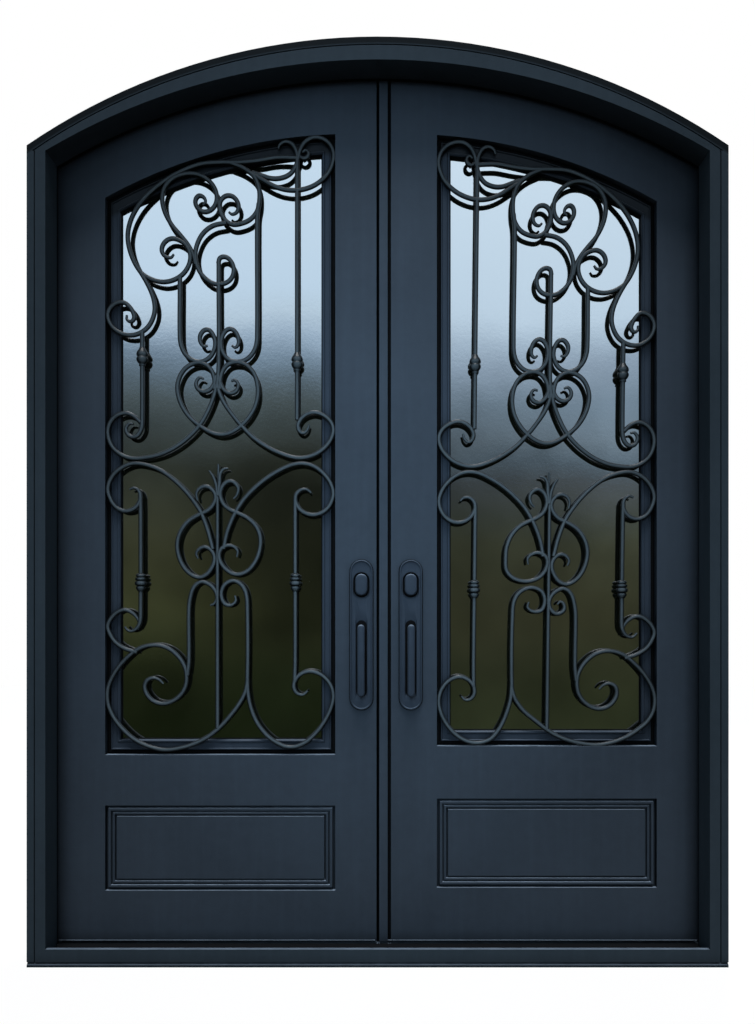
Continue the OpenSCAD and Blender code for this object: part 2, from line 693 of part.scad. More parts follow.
// A flat bar with rounded ends on two posts.
module pulls(side) {
    color(DARK) both_faces(side, handle_x(side), pull_z) {
        plate(plate_t + pull_gap, plate_t + pull_gap + pull_t) stadium(pull_w, pull_h);
        for (s = [-1, 1]) translate([0, plate_t, s * (pull_h / 2 - post_in)])
            rotate([-90, 0, 0]) cylinder(d = pull_t, h = pull_gap + CUT);
    }
}

module lock_covers(side) {
    color(DARK) both_faces(side, handle_x(side), lock_z)
        plate(plate_t, plate_t + cover_t) stadium(cover_w, cover_h);
}

// Drawn on the left like the leaves, then mirrored onto the right leaf's edge.
module strip() {
    groove_x = -meet_x - strip_w - strip_groove_w;
    color(PAINT) {
        plate(face_y - strip_h, inner_y) leaf_slice(-meet_x - strip_w, -meet_x);
        plate(face_y + strip_groove_d, inner_y) leaf_slice(groove_x, -meet_x - strip_w);
    }
}

module astragal() { to_right() strip(); }

module left_hinge_stile() { hinge_stile(-1); }
module left_lock_stile() { lock_stile(-1); }
module left_top_rail() { top_rail(-1); }
module left_lower_rails() { lower_rails(-1); }
module left_kick_panel() { kick_panel(-1); }
module left_kick_mouldings() { kick_mouldings(-1); }
module left_sash() { sash(-1); }
module left_glass() { glass(-1); }
module left_upper_grille() { upper_grille(-1); }
module left_lower_grille() { lower_grille(-1); }
module left_handle_plates() { handle_plates(-1); }
module left_pulls() { pulls(-1); }
module left_lock_covers() { lock_covers(-1); }
module left_leaf_hinges() { leaf_hinges(); }

module to_right() { mirror([1, 0, 0]) children(); }
module right_hinge_stile() { to_right() hinge_stile(1); }
module right_lock_stile() { to_right() lock_stile(1); }
module right_top_rail() { to_right() top_rail(1); }
module right_lower_rails() { to_right() lower_rails(1); }
module right_kick_panel() { to_right() kick_panel(1); }
module right_kick_mouldings() { to_right() kick_mouldings(1); }
module right_sash() { to_right() sash(1); }
module right_glass() { to_right() glass(1); }
module right_upper_grille() { to_right() upper_grille(1); }
module right_lower_grille() { to_right() lower_grille(1); }
module right_handle_plates() { to_right() handle_plates(1); }
module right_pulls() { to_right() pulls(1); }
module right_lock_covers() { to_right() lock_covers(1); }
module right_leaf_hinges() { to_right() leaf_hinges(); }

left_jamb();
right_jamb();
head_arch();
threshold();
weather_seal();
left_hinge_barrels();
right_hinge_barrels();
left_hinge_stile();
left_lock_stile();
left_top_rail();
left_lower_rails();
left_kick_panel();
left_kick_mouldings();
left_sash();
left_glass();
left_upper_grille();
left_lower_grille();
left_handle_plates();
left_pulls();
left_lock_covers();
left_leaf_hinges();
right_hinge_stile();
right_lock_stile();
right_top_rail();
right_lower_rails();
right_kick_panel();
right_kick_mouldings();
right_sash();
right_glass();
right_upper_grille();
right_lower_grille();
right_handle_plates();
right_pulls();
right_lock_covers();
right_leaf_hinges();
astragal();
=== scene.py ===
"""Looks of the arched wrought iron double door: paint, scrollwork, glass, handles and seals."""

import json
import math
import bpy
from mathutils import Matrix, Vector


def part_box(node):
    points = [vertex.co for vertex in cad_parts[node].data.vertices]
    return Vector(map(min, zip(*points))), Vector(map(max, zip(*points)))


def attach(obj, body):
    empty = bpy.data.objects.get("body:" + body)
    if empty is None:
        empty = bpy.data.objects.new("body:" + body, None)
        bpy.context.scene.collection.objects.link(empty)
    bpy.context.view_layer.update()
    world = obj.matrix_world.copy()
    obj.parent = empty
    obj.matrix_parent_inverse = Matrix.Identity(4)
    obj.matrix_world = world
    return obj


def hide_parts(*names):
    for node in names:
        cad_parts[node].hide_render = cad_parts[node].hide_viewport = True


bl_info = {
    "name": "Arched Wrought Iron Door",
    "version": (1, 0, 0),
    "blender": (4, 5, 0),
    "location": "View3D > Sidebar > Iron Door",
    "description": "Dresses an arched double door with scrolled grilles, glass, handles and seals",
    "category": "Object",
}

import bmesh
import bpy
from bpy.props import FloatProperty, FloatVectorProperty, IntProperty, PointerProperty
from bpy.types import NodeSocket, Operator, Panel, PropertyGroup
from mathutils import Vector

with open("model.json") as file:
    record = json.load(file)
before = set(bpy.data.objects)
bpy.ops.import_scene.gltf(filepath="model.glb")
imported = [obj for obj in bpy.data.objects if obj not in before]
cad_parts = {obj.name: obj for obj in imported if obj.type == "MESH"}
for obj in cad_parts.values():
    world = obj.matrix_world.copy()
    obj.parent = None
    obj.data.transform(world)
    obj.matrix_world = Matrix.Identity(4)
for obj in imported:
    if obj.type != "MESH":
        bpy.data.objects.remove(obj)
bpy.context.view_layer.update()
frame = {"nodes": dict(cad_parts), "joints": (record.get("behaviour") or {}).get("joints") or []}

SIDES = {"left": -1, "right": 1}     # which way along X each leaf lies
FACES = {"outer": -1, "inner": 1}    # which way along Y each face looks
ARCH_R = 1.6274   # radius of the frame's outer arch
ARCH_Z = 0.8126   # height of its centre


def srgb(*levels):
    """Scene-linear colour of 8-bit levels."""
    return tuple(((v / 255 + 0.055) / 1.055) ** 2.4 if v > 10 else v / 255 / 12.92 for v in levels)


def colour(name, text, default):
    return FloatVectorProperty(
        name=name, description=text, default=default, size=3, min=0, max=1, subtype="COLOR"
    )


def length(name, text, default):
    return FloatProperty(
        name=name, description=text, default=default, min=0, unit="LENGTH", subtype="DISTANCE"
    )


# ---- sizes and colours ----


class DoorFinishes(PropertyGroup):
    frame_paint: colour("Frame paint", "Colour of the frame", srgb(49, 60, 69))
    leaf_paint: colour("Leaf paint", "Colour of the leaves", srgb(52, 62, 73))
    sash_paint: colour("Sash paint", "Colour of the sashes", srgb(48, 58, 70))
    grille_paint: colour("Grille paint", "Colour of the scrollwork", srgb(70, 81, 88))
    handle_paint: colour("Handle paint", "Colour of the handles", srgb(45, 55, 67))
    hinge_paint: colour("Hinge paint", "Colour of the hinges", srgb(60, 68, 76))
    rubber: colour("Rubber", "Colour of the seals", srgb(14, 15, 17))
    glass_tint: colour("Glass tint", "Colour of the glass's body", srgb(14, 17, 12))
    mottle: FloatProperty(
        name="Mottle", description="Strength of the paint's cloudiness", default=0.12, min=0, max=1
    )


class DoorSizes(PropertyGroup):
    edge: length("Edge", "Rounding of the welded sheet's edges", 0.0018)
    moulding_edge: length("Moulding edge", "Rounding of the moulding's ridges", 0.0016)
    bar_w: length("Bar width", "Width of a scroll bar", 0.0122)
    bar_t: length("Bar thickness", "Thickness of a scroll bar", 0.013)
    bar_corner: length("Bar corner", "Rounding of a scroll bar's corners", 0.0056)
    tip_w: length("Tip width", "Width of a scroll's tip", 0.006)
    collar_r: length("Collar radius", "Radius of a turned collar", 0.0142)
    sash_groove_w: length("Sash groove", "Width of the groove round the sash", 0.012)
    sash_w: length("Sash side", "Width of the sash's sides", 0.025)
    sash_rail_w: length("Sash rail", "Width of the sash's top", 0.032)
    sash_sill_w: length("Sash sill", "Width of the sash's bottom", 0.028)
    sash_lip: length("Sash lip", "Depth of the channel pressed into the sash's face", 0.0025)
    window_r: length("Window arch radius", "Radius of the window's arch", 1.4)
    window_arch_x: length("Window arch centre", "Its centre's distance from the middle", 0.07)
    window_top_z: length("Window top", "Height of the window's arch", 2.244)
    strip_w: length("Strip width", "Width of the strip that covers the meeting edge", 0.023)
    strip_groove_d: length("Strip groove depth", "Depth of the groove beside that strip", 0.012)
    gasket_w: length("Gasket width", "Width of the glazing rubber that shows", 0.003)
    lip_t: length("Lip thickness", "Thickness of the rubber lip between the leaves", 0.004)
    steps: IntProperty(name="Curve steps", description="Steps of a curve", default=6, min=1)


# ---- meshes ----

FLAT = math.radians(0.05)    # faces that turn by less than this are one flat face
CORNER = math.radians(30)    # edges that turn by more than this are rounded


def link(obj):
    """Puts an object into the scene."""
    bpy.context.scene.collection.objects.link(obj)
    return obj


def new_object(name, bm):
    """A new object from a bmesh, which is used up."""
    mesh = bpy.data.meshes.new(name)
    bm.to_mesh(mesh)
    bm.free()
    return link(bpy.data.objects.new(name, mesh))


def add_mesh(name, bm, smooth=True):
    """A new object from a bmesh, its normals pointing out."""
    bmesh.ops.remove_doubles(bm, verts=bm.verts, dist=1e-6)
    bmesh.ops.recalc_face_normals(bm, faces=bm.faces)
    obj = new_object(name, bm)
    for face in obj.data.polygons:
        face.use_smooth = smooth
    return obj


def keep_sharp(obj, degrees):
    """Shades edges sharp where faces turn by more than some degrees."""
    obj.data.set_sharp_from_angle(angle=math.radians(degrees))


def settle(obj):
    """Turns an object with modifiers into a plain mesh object of the same name."""
    graph = bpy.context.evaluated_depsgraph_get()
    mesh = bpy.data.meshes.new_from_object(obj.evaluated_get(graph))
    name = obj.name
    bpy.data.objects.remove(obj)
    mesh.name = name
    return link(bpy.data.objects.new(name, mesh))


def flatten(bm, gap):
    """Joins points closer than a gap, and the triangles of each flat face."""
    bmesh.ops.remove_doubles(bm, verts=bm.verts, dist=gap)
    bmesh.ops.dissolve_limit(bm, angle_limit=FLAT, verts=bm.verts, edges=bm.edges)


def merged_copy(cad_name, name):
    """A copy of a CAD node with its loose triangles joined into flat faces."""
    bm = bmesh.new()
    bm.from_mesh(frame["nodes"][cad_name].data)
    flatten(bm, 2e-6)
    return new_object(name, bm)


def combined(whole, others, operation):
    """A plain mesh of an object joined with others or cut by them; the others are removed."""
    for other in others:
        step = whole.modifiers.new("combine", "BOOLEAN")
        step.operation = operation
        step.solver = "EXACT"
        step.object = other
    whole = settle(whole)
    for other in others:
        bpy.data.objects.remove(other)
    return whole


def welded(name, cad_names):
    """Several touching CAD nodes as one skin, without the faces between them."""
    whole = merged_copy(cad_names[0], name)
    others = [merged_copy(n, name + "_" + n) for n in cad_names[1:]]
    whole = combined(whole, others, "UNION")
    bm = bmesh.new()
    bm.from_mesh(whole.data)
    flatten(bm, 5e-6)
    bm.to_mesh(whole.data)
    bm.free()
    return whole


def round_edges(obj, width):
    bevel = obj.modifiers.new("edges", "BEVEL")
    bevel.width = width
    bevel.segments = 2
    bevel.limit_method = "ANGLE"
    bevel.angle_limit = CORNER
    bevel.use_clamp_overlap = True
    bevel.harden_normals = True


def loft(bm, rings, caps=True):
    """Joins closed rings of points with equal counts into a skin."""
    rows = [[bm.verts.new(p) for p in ring] for ring in rings]
    count = len(rows[0])
    for a, b in zip(rows, rows[1:]):
        for i in range(count):
            j = (i + 1) % count
            bm.faces.new((a[i], a[j], b[j], b[i]))
    if caps:
        bm.faces.new(rows[0])
        bm.faces.new(list(reversed(rows[-1])))


def lathe(bm, profile, place, across=1.0, sides=32):
    """Turns (radius, height) points about an upright axis, wider across X by a share."""
    rings = []
    for radius, height in profile:
        ring = []
        for k in range(sides):
            turn = 2 * math.pi * k / sides
            point = Vector((across * radius * math.cos(turn), radius * math.sin(turn), height))
            ring.append(place + point)
        rings.append(ring)
    loft(bm, rings)


def stadium(width, height, steps=12):
    """Points round an upright oval with straight sides, in X and Z."""
    radius = width / 2
    rise = height / 2 - radius
    points = []
    for end in (1, -1):
        for k in range(steps + 1):
            turn = math.pi * k / steps
            points.append((end * radius * math.cos(turn), end * (rise + radius * math.sin(turn))))
    return points


def stack_ovals(bm, middle, outward, layers):
    """Lofts ovals of (width, height, stand-off, lift) laid over each other on a flat face."""
    x, y, z = middle
    rings = []
    for width, height, stand, *lift in layers:
        level = y + outward * stand
        oval = stadium(width, height)
        rings.append([Vector((x + u, level, z + v + sum(lift))) for u, v in oval])
    loft(bm, rings)


def straight_strip(name, section, ends, axis):
    """A strip between two ends, with its section in (y, z) along X or in (x, y) along Z."""
    rings = [[Vector((end, *p) if axis == "X" else (*p, end)) for p in section] for end in ends]
    bm = bmesh.new()
    loft(bm, rings)
    return add_mesh(name, bm, smooth=False)


# ---- node trees ----

WHITE = (1.0, 1.0, 1.0, 1.0)


def feed(tree, target, inputs):
    """Gives a node's inputs, by name or number, their values or the sockets that lead there."""
    for key, value in inputs.items():
        if isinstance(value, NodeSocket):
            tree.links.new(value, target.inputs[key])
        else:
            target.inputs[key].default_value = value


def node(tree, kind, inputs=None, **settings):
    """A new node with its settings and inputs."""
    made = tree.nodes.new(kind)
    for key, value in settings.items():
        setattr(made, key, value)
    feed(tree, made, inputs or {})
    return made


def find(tree, kind):
    """The first node of a kind."""
    return next(n for n in tree.nodes if n.type == kind)


def group_tree(name, kind, inputs, outputs):
    """A node group with sockets (name, type, default), its given values and its output node."""
    tree = bpy.data.node_groups.new(name, kind)
    for socket_name, socket_type, default in inputs:
        made = tree.interface.new_socket(socket_name, in_out="INPUT", socket_type=socket_type)
        if default is not None:
            made.default_value = default
    for socket_name, socket_type in outputs:
        tree.interface.new_socket(socket_name, in_out="OUTPUT", socket_type=socket_type)
    return tree, node(tree, "NodeGroupInput").outputs, node(tree, "NodeGroupOutput")


def shared_group(name, build):
    """The node group of that name, built when it is first asked for."""
    return bpy.data.node_groups.get(name) or build(name)


def object_place(tree):
    """The place of a point in its piece's own frame."""
    return node(tree, "ShaderNodeTexCoord").outputs["Object"]


def split(tree, vector):
    """The X, Y and Z of a vector."""
    return node(tree, "ShaderNodeSeparateXYZ", {0: vector}).outputs


def noise(tree, place, scale, detail=3.0, roughness=0.5):
    inputs = {"Vector": place, "Scale": scale, "Detail": detail, "Roughness": roughness}
    return node(tree, "ShaderNodeTexNoise", inputs).outputs["Fac"]


def spread(tree, value, low, high, to_low=0.0, to_high=1.0):
    """Moves a value from between two bounds to between two others, and no further."""
    inputs = {"From Min": low, "From Max": high, "To Min": to_low, "To Max": to_high}
    return node(tree, "ShaderNodeMapRange", {"Value": value, **inputs}).outputs["Result"]


def vary(tree, value, low, high):
    """Noise, most of which lies between 0.3 and 0.7, drawn out to between two values."""
    return spread(tree, value, 0.3, 0.7, low, high)


def maths(tree, operation, first, second=0.0):
    return node(tree, "ShaderNodeMath", {0: first, 1: second}, operation=operation).outputs[0]


def times(tree, first, second):
    return maths(tree, "MULTIPLY", first, second)


def plus(tree, first, second):
    return maths(tree, "ADD", first, second)


def scaled(tree, tone, level):
    """A colour made lighter or darker."""
    made = node(tree, "ShaderNodeVectorMath", {0: tone, "Scale": level}, operation="SCALE")
    return made.outputs[0]


def mix_colours(tree, factor, first, second, blend="MIX"):
    inputs = {0: factor, 6: first, 7: second}
    return node(tree, "ShaderNodeMix", inputs, data_type="RGBA", blend_type=blend).outputs[2]


def mix_shaders(tree, factor, first, second):
    return node(tree, "ShaderNodeMixShader", {0: factor, 1: first, 2: second}).outputs[0]


def bumped(tree, distance, strength, height):
    """Normals of a surface with fine relief."""
    inputs = {"Distance": distance, "Strength": strength, "Height": height}
    return node(tree, "ShaderNodeBump", inputs).outputs["Normal"]


# ---- finishes ----

# tone of the painted shade in hollows
PAINTED_SHADE = (*srgb(9, 11, 13), 1.0)
# tone of the painted shadow underneath things and below the arches
PAINTED_SHADOW = (*srgb(8, 9, 8), 1.0)
# tone of the pale dust and painted highlight on ledges
DUST_AND_HIGHLIGHT = (*srgb(132, 148, 166), 1.0)
GLASS_FILM = (*srgb(34, 38, 28), 1.0)
PANE = {
    "Roughness": 0.06, "IOR": 3.5, "Coat Weight": 1.0, "Coat IOR": 3.5, "Coat Roughness": 0.03,
}
PEBBLE_HEIGHT = 0.09
PEEL_DEPTH = 0.0006
PEBBLE_DEPTH = 0.0012

SMOOTH_PEEL = (260.0, 0.25)
# Paints: their colour, roughness, dust and painted highlight on ledges, peel as (scale, height),
# sheen, and how far from a ledge the painted shade in hollows reaches.
PAINTS = {
    "Frame paint": ("frame_paint", 0.48, 0.5, SMOOTH_PEEL, 0.02, 0.04),
    "Leaf paint": ("leaf_paint", 0.48, 0.75, SMOOTH_PEEL, 0.1, 0.04),
    "Sash paint": ("sash_paint", 0.42, 0.2, SMOOTH_PEEL, 0.1, 0.04),
    "Forged iron": ("grille_paint", 0.36, 0.06, (95.0, 0.55), 0.16, 0.012),
    "Handle iron": ("handle_paint", 0.4, 0.6, (150.0, 0.2), 0.2, 0.012),
    "Hinge steel": ("hinge_paint", 0.4, 0.15, (150.0, 0.3), 0.5, 0.04),
    "Seal rubber": ("rubber", 0.85, 0.0, (420.0, 0.2), 0.05, 0.04),
}
# Painted shadow below the arches: how far inside the arch it starts and is full, and its strength.
FRAME_PAINTED_SHADOW = (0.021, 0.014, 0.8)
SASH_PAINTED_SHADOW = (0.052, 0.038, 0.75)
# The bars' painted shade by how far a face turns away: where it starts and ends, and what is left.
TURNED_AWAY = (0.0, 0.28, 0.12)
# the bars are darkened where the glass mirrors them, as a painted dark reflection
IN_MIRRORS = 0.2   # how bright the bars are when the glass mirrors them


def paint_group(name):
    """Baked-on paint: cloudy colour, fine peel and faint rain streaks, with painted shade in
    hollows, painted shadow underneath, and dust with a painted highlight on ledges.
    """
    tree, given, out = group_tree(
        name,
        "ShaderNodeTree",
        [
            ("Color", "NodeSocketColor", None),
            ("Mottle", "NodeSocketFloat", 0.12),
            ("Dust And Highlight", "NodeSocketFloat", 0.25),
            ("Roughness", "NodeSocketFloat", 0.5),
            ("Peel Scale", "NodeSocketFloat", 260.0),
            ("Peel Height", "NodeSocketFloat", 0.25),
            ("Painted Shade", "NodeSocketFloat", 0.8),
            ("Painted Shade Reach", "NodeSocketFloat", 0.014),
            ("Painted Shadow", "NodeSocketFloat", 0.0),
        ],
        [
            ("Color", "NodeSocketColor"),
            ("Roughness", "NodeSocketFloat"),
            ("Normal", "NodeSocketVector"),
        ],
    )
    place = object_place(tree)
    specks = noise(tree, place, 38.0, 3.0, 0.6)
    drawn_down = node(tree, "ShaderNodeMapping", {"Vector": place, "Scale": (1.0, 1.0, 0.04)})
    streaks = noise(tree, drawn_down.outputs["Vector"], 55.0, 2.0)
    cloudy = vary(tree, noise(tree, place, 2.2, 4.0), -1.0, 1.0)
    speckled = vary(tree, specks, -0.35, 0.35)
    streaky = spread(tree, streaks, 0.45, 0.75, 0.0, 0.6)
    shade = times(tree, plus(tree, plus(tree, cloudy, speckled), streaky), given["Mottle"])
    mottled = scaled(tree, given["Color"], plus(tree, shade, 1.0))

    # painted shade: darker in grooves and against ledges, by how hemmed in a point is
    shelter = node(tree, "ShaderNodeAmbientOcclusion", {"Distance": given["Painted Shade Reach"]}, samples=6)
    deep = spread(tree, shelter.outputs["AO"], 0.25, 0.95, 1.0, 0.0)
    recess_shaded = mix_colours(tree, times(tree, deep, given["Painted Shade"]), mottled, PAINTED_SHADE)

    # painted shadow on faces that look down, and wherever the material asks for more, as under the
    # arches
    upward = split(tree, node(tree, "ShaderNodeNewGeometry").outputs["Normal"])["Z"]
    under = spread(tree, upward, -0.5, -0.9, 0.0, 0.7)
    shadowed = mix_colours(tree, maths(tree, "MAXIMUM", under, given["Painted Shadow"]), recess_shaded, PAINTED_SHADOW)

    # dust, with a painted highlight: faces that look up are made paler
    patchy = spread(tree, noise(tree, place, 22.0, 4.0, 0.65), 0.3, 0.65, 0.5, 1.0)
    ledge = times(tree, spread(tree, upward, 0.4, 0.95), patchy)
    dust_and_highlight = times(tree, ledge, given["Dust And Highlight"])
    rough = plus(tree, vary(tree, specks, -0.06, 0.06), given["Roughness"])
    peel = noise(tree, place, given["Peel Scale"], 2.0)
    feed(tree, out, {
        "Color": mix_colours(tree, dust_and_highlight, shadowed, DUST_AND_HIGHLIGHT),
        "Roughness": plus(tree, rough, times(tree, dust_and_highlight, 0.3)),
        "Normal": bumped(tree, PEEL_DEPTH, given["Peel Height"], peel),
    })
    return tree


def glass_group(name):
    """Obscure glass: a pebbled face and a faint, patchy film of dirt."""
    tree, given, out = group_tree(
        name,
        "ShaderNodeTree",
        [("Color", "NodeSocketColor", None), ("Pebble Height", "NodeSocketFloat", 0.1)],
        [("Color", "NodeSocketColor"), ("Normal", "NodeSocketVector")],
    )
    place = object_place(tree)
    pebbles = noise(tree, place, 120.0, 3.0, 0.6)
    waves = times(tree, noise(tree, place, 14.0, 2.0), 1.6)
    film = spread(tree, noise(tree, place, 3.0, 4.0), 0.35, 0.7, 0.0, 0.35)
    feed(tree, out, {
        "Color": mix_colours(tree, film, given["Color"], GLASS_FILM),
        "Normal": bumped(tree, PEBBLE_DEPTH, given["Pebble Height"], plus(tree, pebbles, waves)),
    })
    return tree


def start_material(name):
    """A material with a Principled shader; gives it with its tree and that shader."""
    made = bpy.data.materials.new(name)
    made.use_nodes = True
    tree = made.node_tree
    tree.nodes.clear()
    shader = node(tree, "ShaderNodeBsdfPrincipled")
    node(tree, "ShaderNodeOutputMaterial", {"Surface": shader.outputs["BSDF"]})
    return made, tree, shader


def painted(name, tone, rough, dust_and_highlight, peel, sheen, reach):
    """A coat of baked paint."""
    finishes = bpy.context.scene.door_finishes
    made, tree, shader = start_material(name)
    wear = node(tree, "ShaderNodeGroup", {
        "Color": (*getattr(finishes, tone), 1.0), "Mottle": finishes.mottle, "Dust And Highlight": dust_and_highlight,
        "Roughness": rough, "Peel Scale": peel[0], "Peel Height": peel[1], "Painted Shade Reach": reach,
    }, node_tree=shared_group("Baked paint", paint_group))
    feed(tree, shader, {
        "Base Color": wear.outputs["Color"], "Roughness": wear.outputs["Roughness"],
        "Normal": wear.outputs["Normal"], "Specular IOR Level": sheen,
    })
    return made


def add_arch_shadow(material, arch, start, full, most):
    """Painted shadow on a painted material between two distances inside an arch (x, z, radius)."""
    tree = material.node_tree
    place = split(tree, object_place(tree))
    x, z, radius = arch
    across = plus(tree, maths(tree, "ABSOLUTE", place["X"]), -x)
    up = plus(tree, place["Z"], -z)
    square = plus(tree, times(tree, across, across), times(tree, up, up))
    reach = maths(tree, "POWER", square, 0.5)
    rim = spread(tree, reach, radius - start, radius - full, 0.0, most)
    feed(tree, find(tree, "GROUP"), {"Painted Shadow": rim})


def shade_edges(material, low, high, least):
    """Painted shade on a material where it turns away from the eye, and a painted dark reflection
    where mirrors show it.
    """
    tree = material.node_tree
    turned = node(tree, "ShaderNodeLayerWeight", {"Blend": 0.5}).outputs["Facing"]
    mirrored = node(tree, "ShaderNodeLightPath").outputs["Is Glossy Ray"]
    level = times(
        tree,
        spread(tree, turned, low, high, 1.0, least),
        spread(tree, mirrored, 0.0, 1.0, 1.0, IN_MIRRORS),
    )
    paint = find(tree, "GROUP").outputs["Color"]
    feed(tree, find(tree, "BSDF_PRINCIPLED"), {"Base Color": scaled(tree, paint, level)})


def glazed(name, tint):
    """Obscure glass that mirrors strongly over an almost black body."""
    made, tree, shader = start_material(name)
    body = (*tint, 1.0)
    pebbled = node(
        tree, "ShaderNodeGroup", {"Color": body, "Pebble Height": PEBBLE_HEIGHT},
        node_tree=shared_group("Pebbled glass", glass_group),
    ).outputs
    feed(tree, shader, {"Base Color": pebbled["Color"], "Normal": pebbled["Normal"], **PANE})
    # light scattered by the bars finds the glass dull, so their backs stay dark
    dull = node(tree, "ShaderNodeBsdfDiffuse", {"Color": body})
    depth = node(tree, "ShaderNodeLightPath").outputs["Diffuse Depth"]
    bounced = maths(tree, "MINIMUM", depth, 1.0)
    surface = mix_shaders(tree, bounced, shader.outputs[0], dull.outputs[0])
    feed(tree, find(tree, "OUTPUT_MATERIAL"), {"Surface": surface})
    return made


def finish(name):
    """The finish of that name, made when it is first asked for."""
    found = bpy.data.materials.get(name)
    if found:
        return found
    if name == "Obscure glass":
        return glazed(name, bpy.context.scene.door_finishes.glass_tint)
    sizes = bpy.context.scene.door_sizes
    made = painted(name, *PAINTS[name])
    if name == "Frame paint":
        add_arch_shadow(made, (0.0, ARCH_Z, ARCH_R), *FRAME_PAINTED_SHADOW)
    elif name == "Sash paint":
        centre_z = sizes.window_top_z - sizes.window_r
        add_arch_shadow(made, (sizes.window_arch_x, centre_z, sizes.window_r), *SASH_PAINTED_SHADOW)
    elif name == "Forged iron":
        shade_edges(made, *TURNED_AWAY)
    return made


def coat(obj, name):
    """Gives every face of a piece or a CAD node one finish."""
    slots = obj.data.materials
    if len(slots):
        for k in range(len(slots)):
            slots[k] = finish(name)
    else:
        slots.append(finish(name))


def place_piece(obj, body, finish_name, nodes=()):
    """Coats a finished piece, hangs it on the body it rides on and hides the CAD nodes it replaces.
    """
    coat(obj, finish_name)
    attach(obj, body)
    if nodes:
        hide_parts(*nodes)


def place_rubber(obj, body):
    place_piece(obj, body, "Seal rubber")


# ---- places, shared by several pieces ----


def front_of(cad_name, face):
    """How far along Y a CAD node reaches on one face of the door."""
    low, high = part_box(cad_name)
    return low[1] if face == "outer" else high[1]


def oval_of(cad_name):
    """The middle (x, z) of a CAD node, its width and its height."""
    low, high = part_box(cad_name)
    return (low[0] + high[0]) / 2, (low[2] + high[2]) / 2, high[0] - low[0], high[2] - low[2]


def window_box(side):
    """Hinge side, lock side and lower edge of a leaf's window, as on the left leaf."""
    low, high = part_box(side + "_sash")
    if side == "left":
        return low[0], high[0], low[2]
    return -high[0], -low[0], low[2]


def window_loop(side, margins, steps=40):
    """Points (x, z) round a window drawn in at its sides, top and foot, on that leaf."""
    sizes = bpy.context.scene.door_sizes
    hinge, lock, foot = window_box(side)
    x0, x1, z0 = hinge + margins[0], lock - margins[0], foot + margins[2]
    radius = sizes.window_r - margins[1]
    centre_z = sizes.window_top_z - sizes.window_r
    points = [(x0, z0), (x1, z0)]
    for k in range(steps + 1):
        x = x1 + (x0 - x1) * k / steps
        points.append((x, centre_z + math.sqrt(radius**2 - (x + sizes.window_arch_x) ** 2)))
    flip = -SIDES[side]
    return [(flip * x, z) for x, z in points]


# ---- scrollwork ----
# The pattern's points are measured across from the window's middle and up from its
# lower edge, in the pattern's own width and height; positive is towards the lock.
# After its points, each bar says whether it thins at its start and at its end.

PATTERN_W = 600
PATTERN_H = 1675
WELD = 0.0015   # the outer bars reach this far into the window's sides
TAPER = 3       # a tip thins over this many stretches of its points
CROSSING = 0.00012   # bars lie this much before or behind each other where they cross
CORNER_STEPS = 5

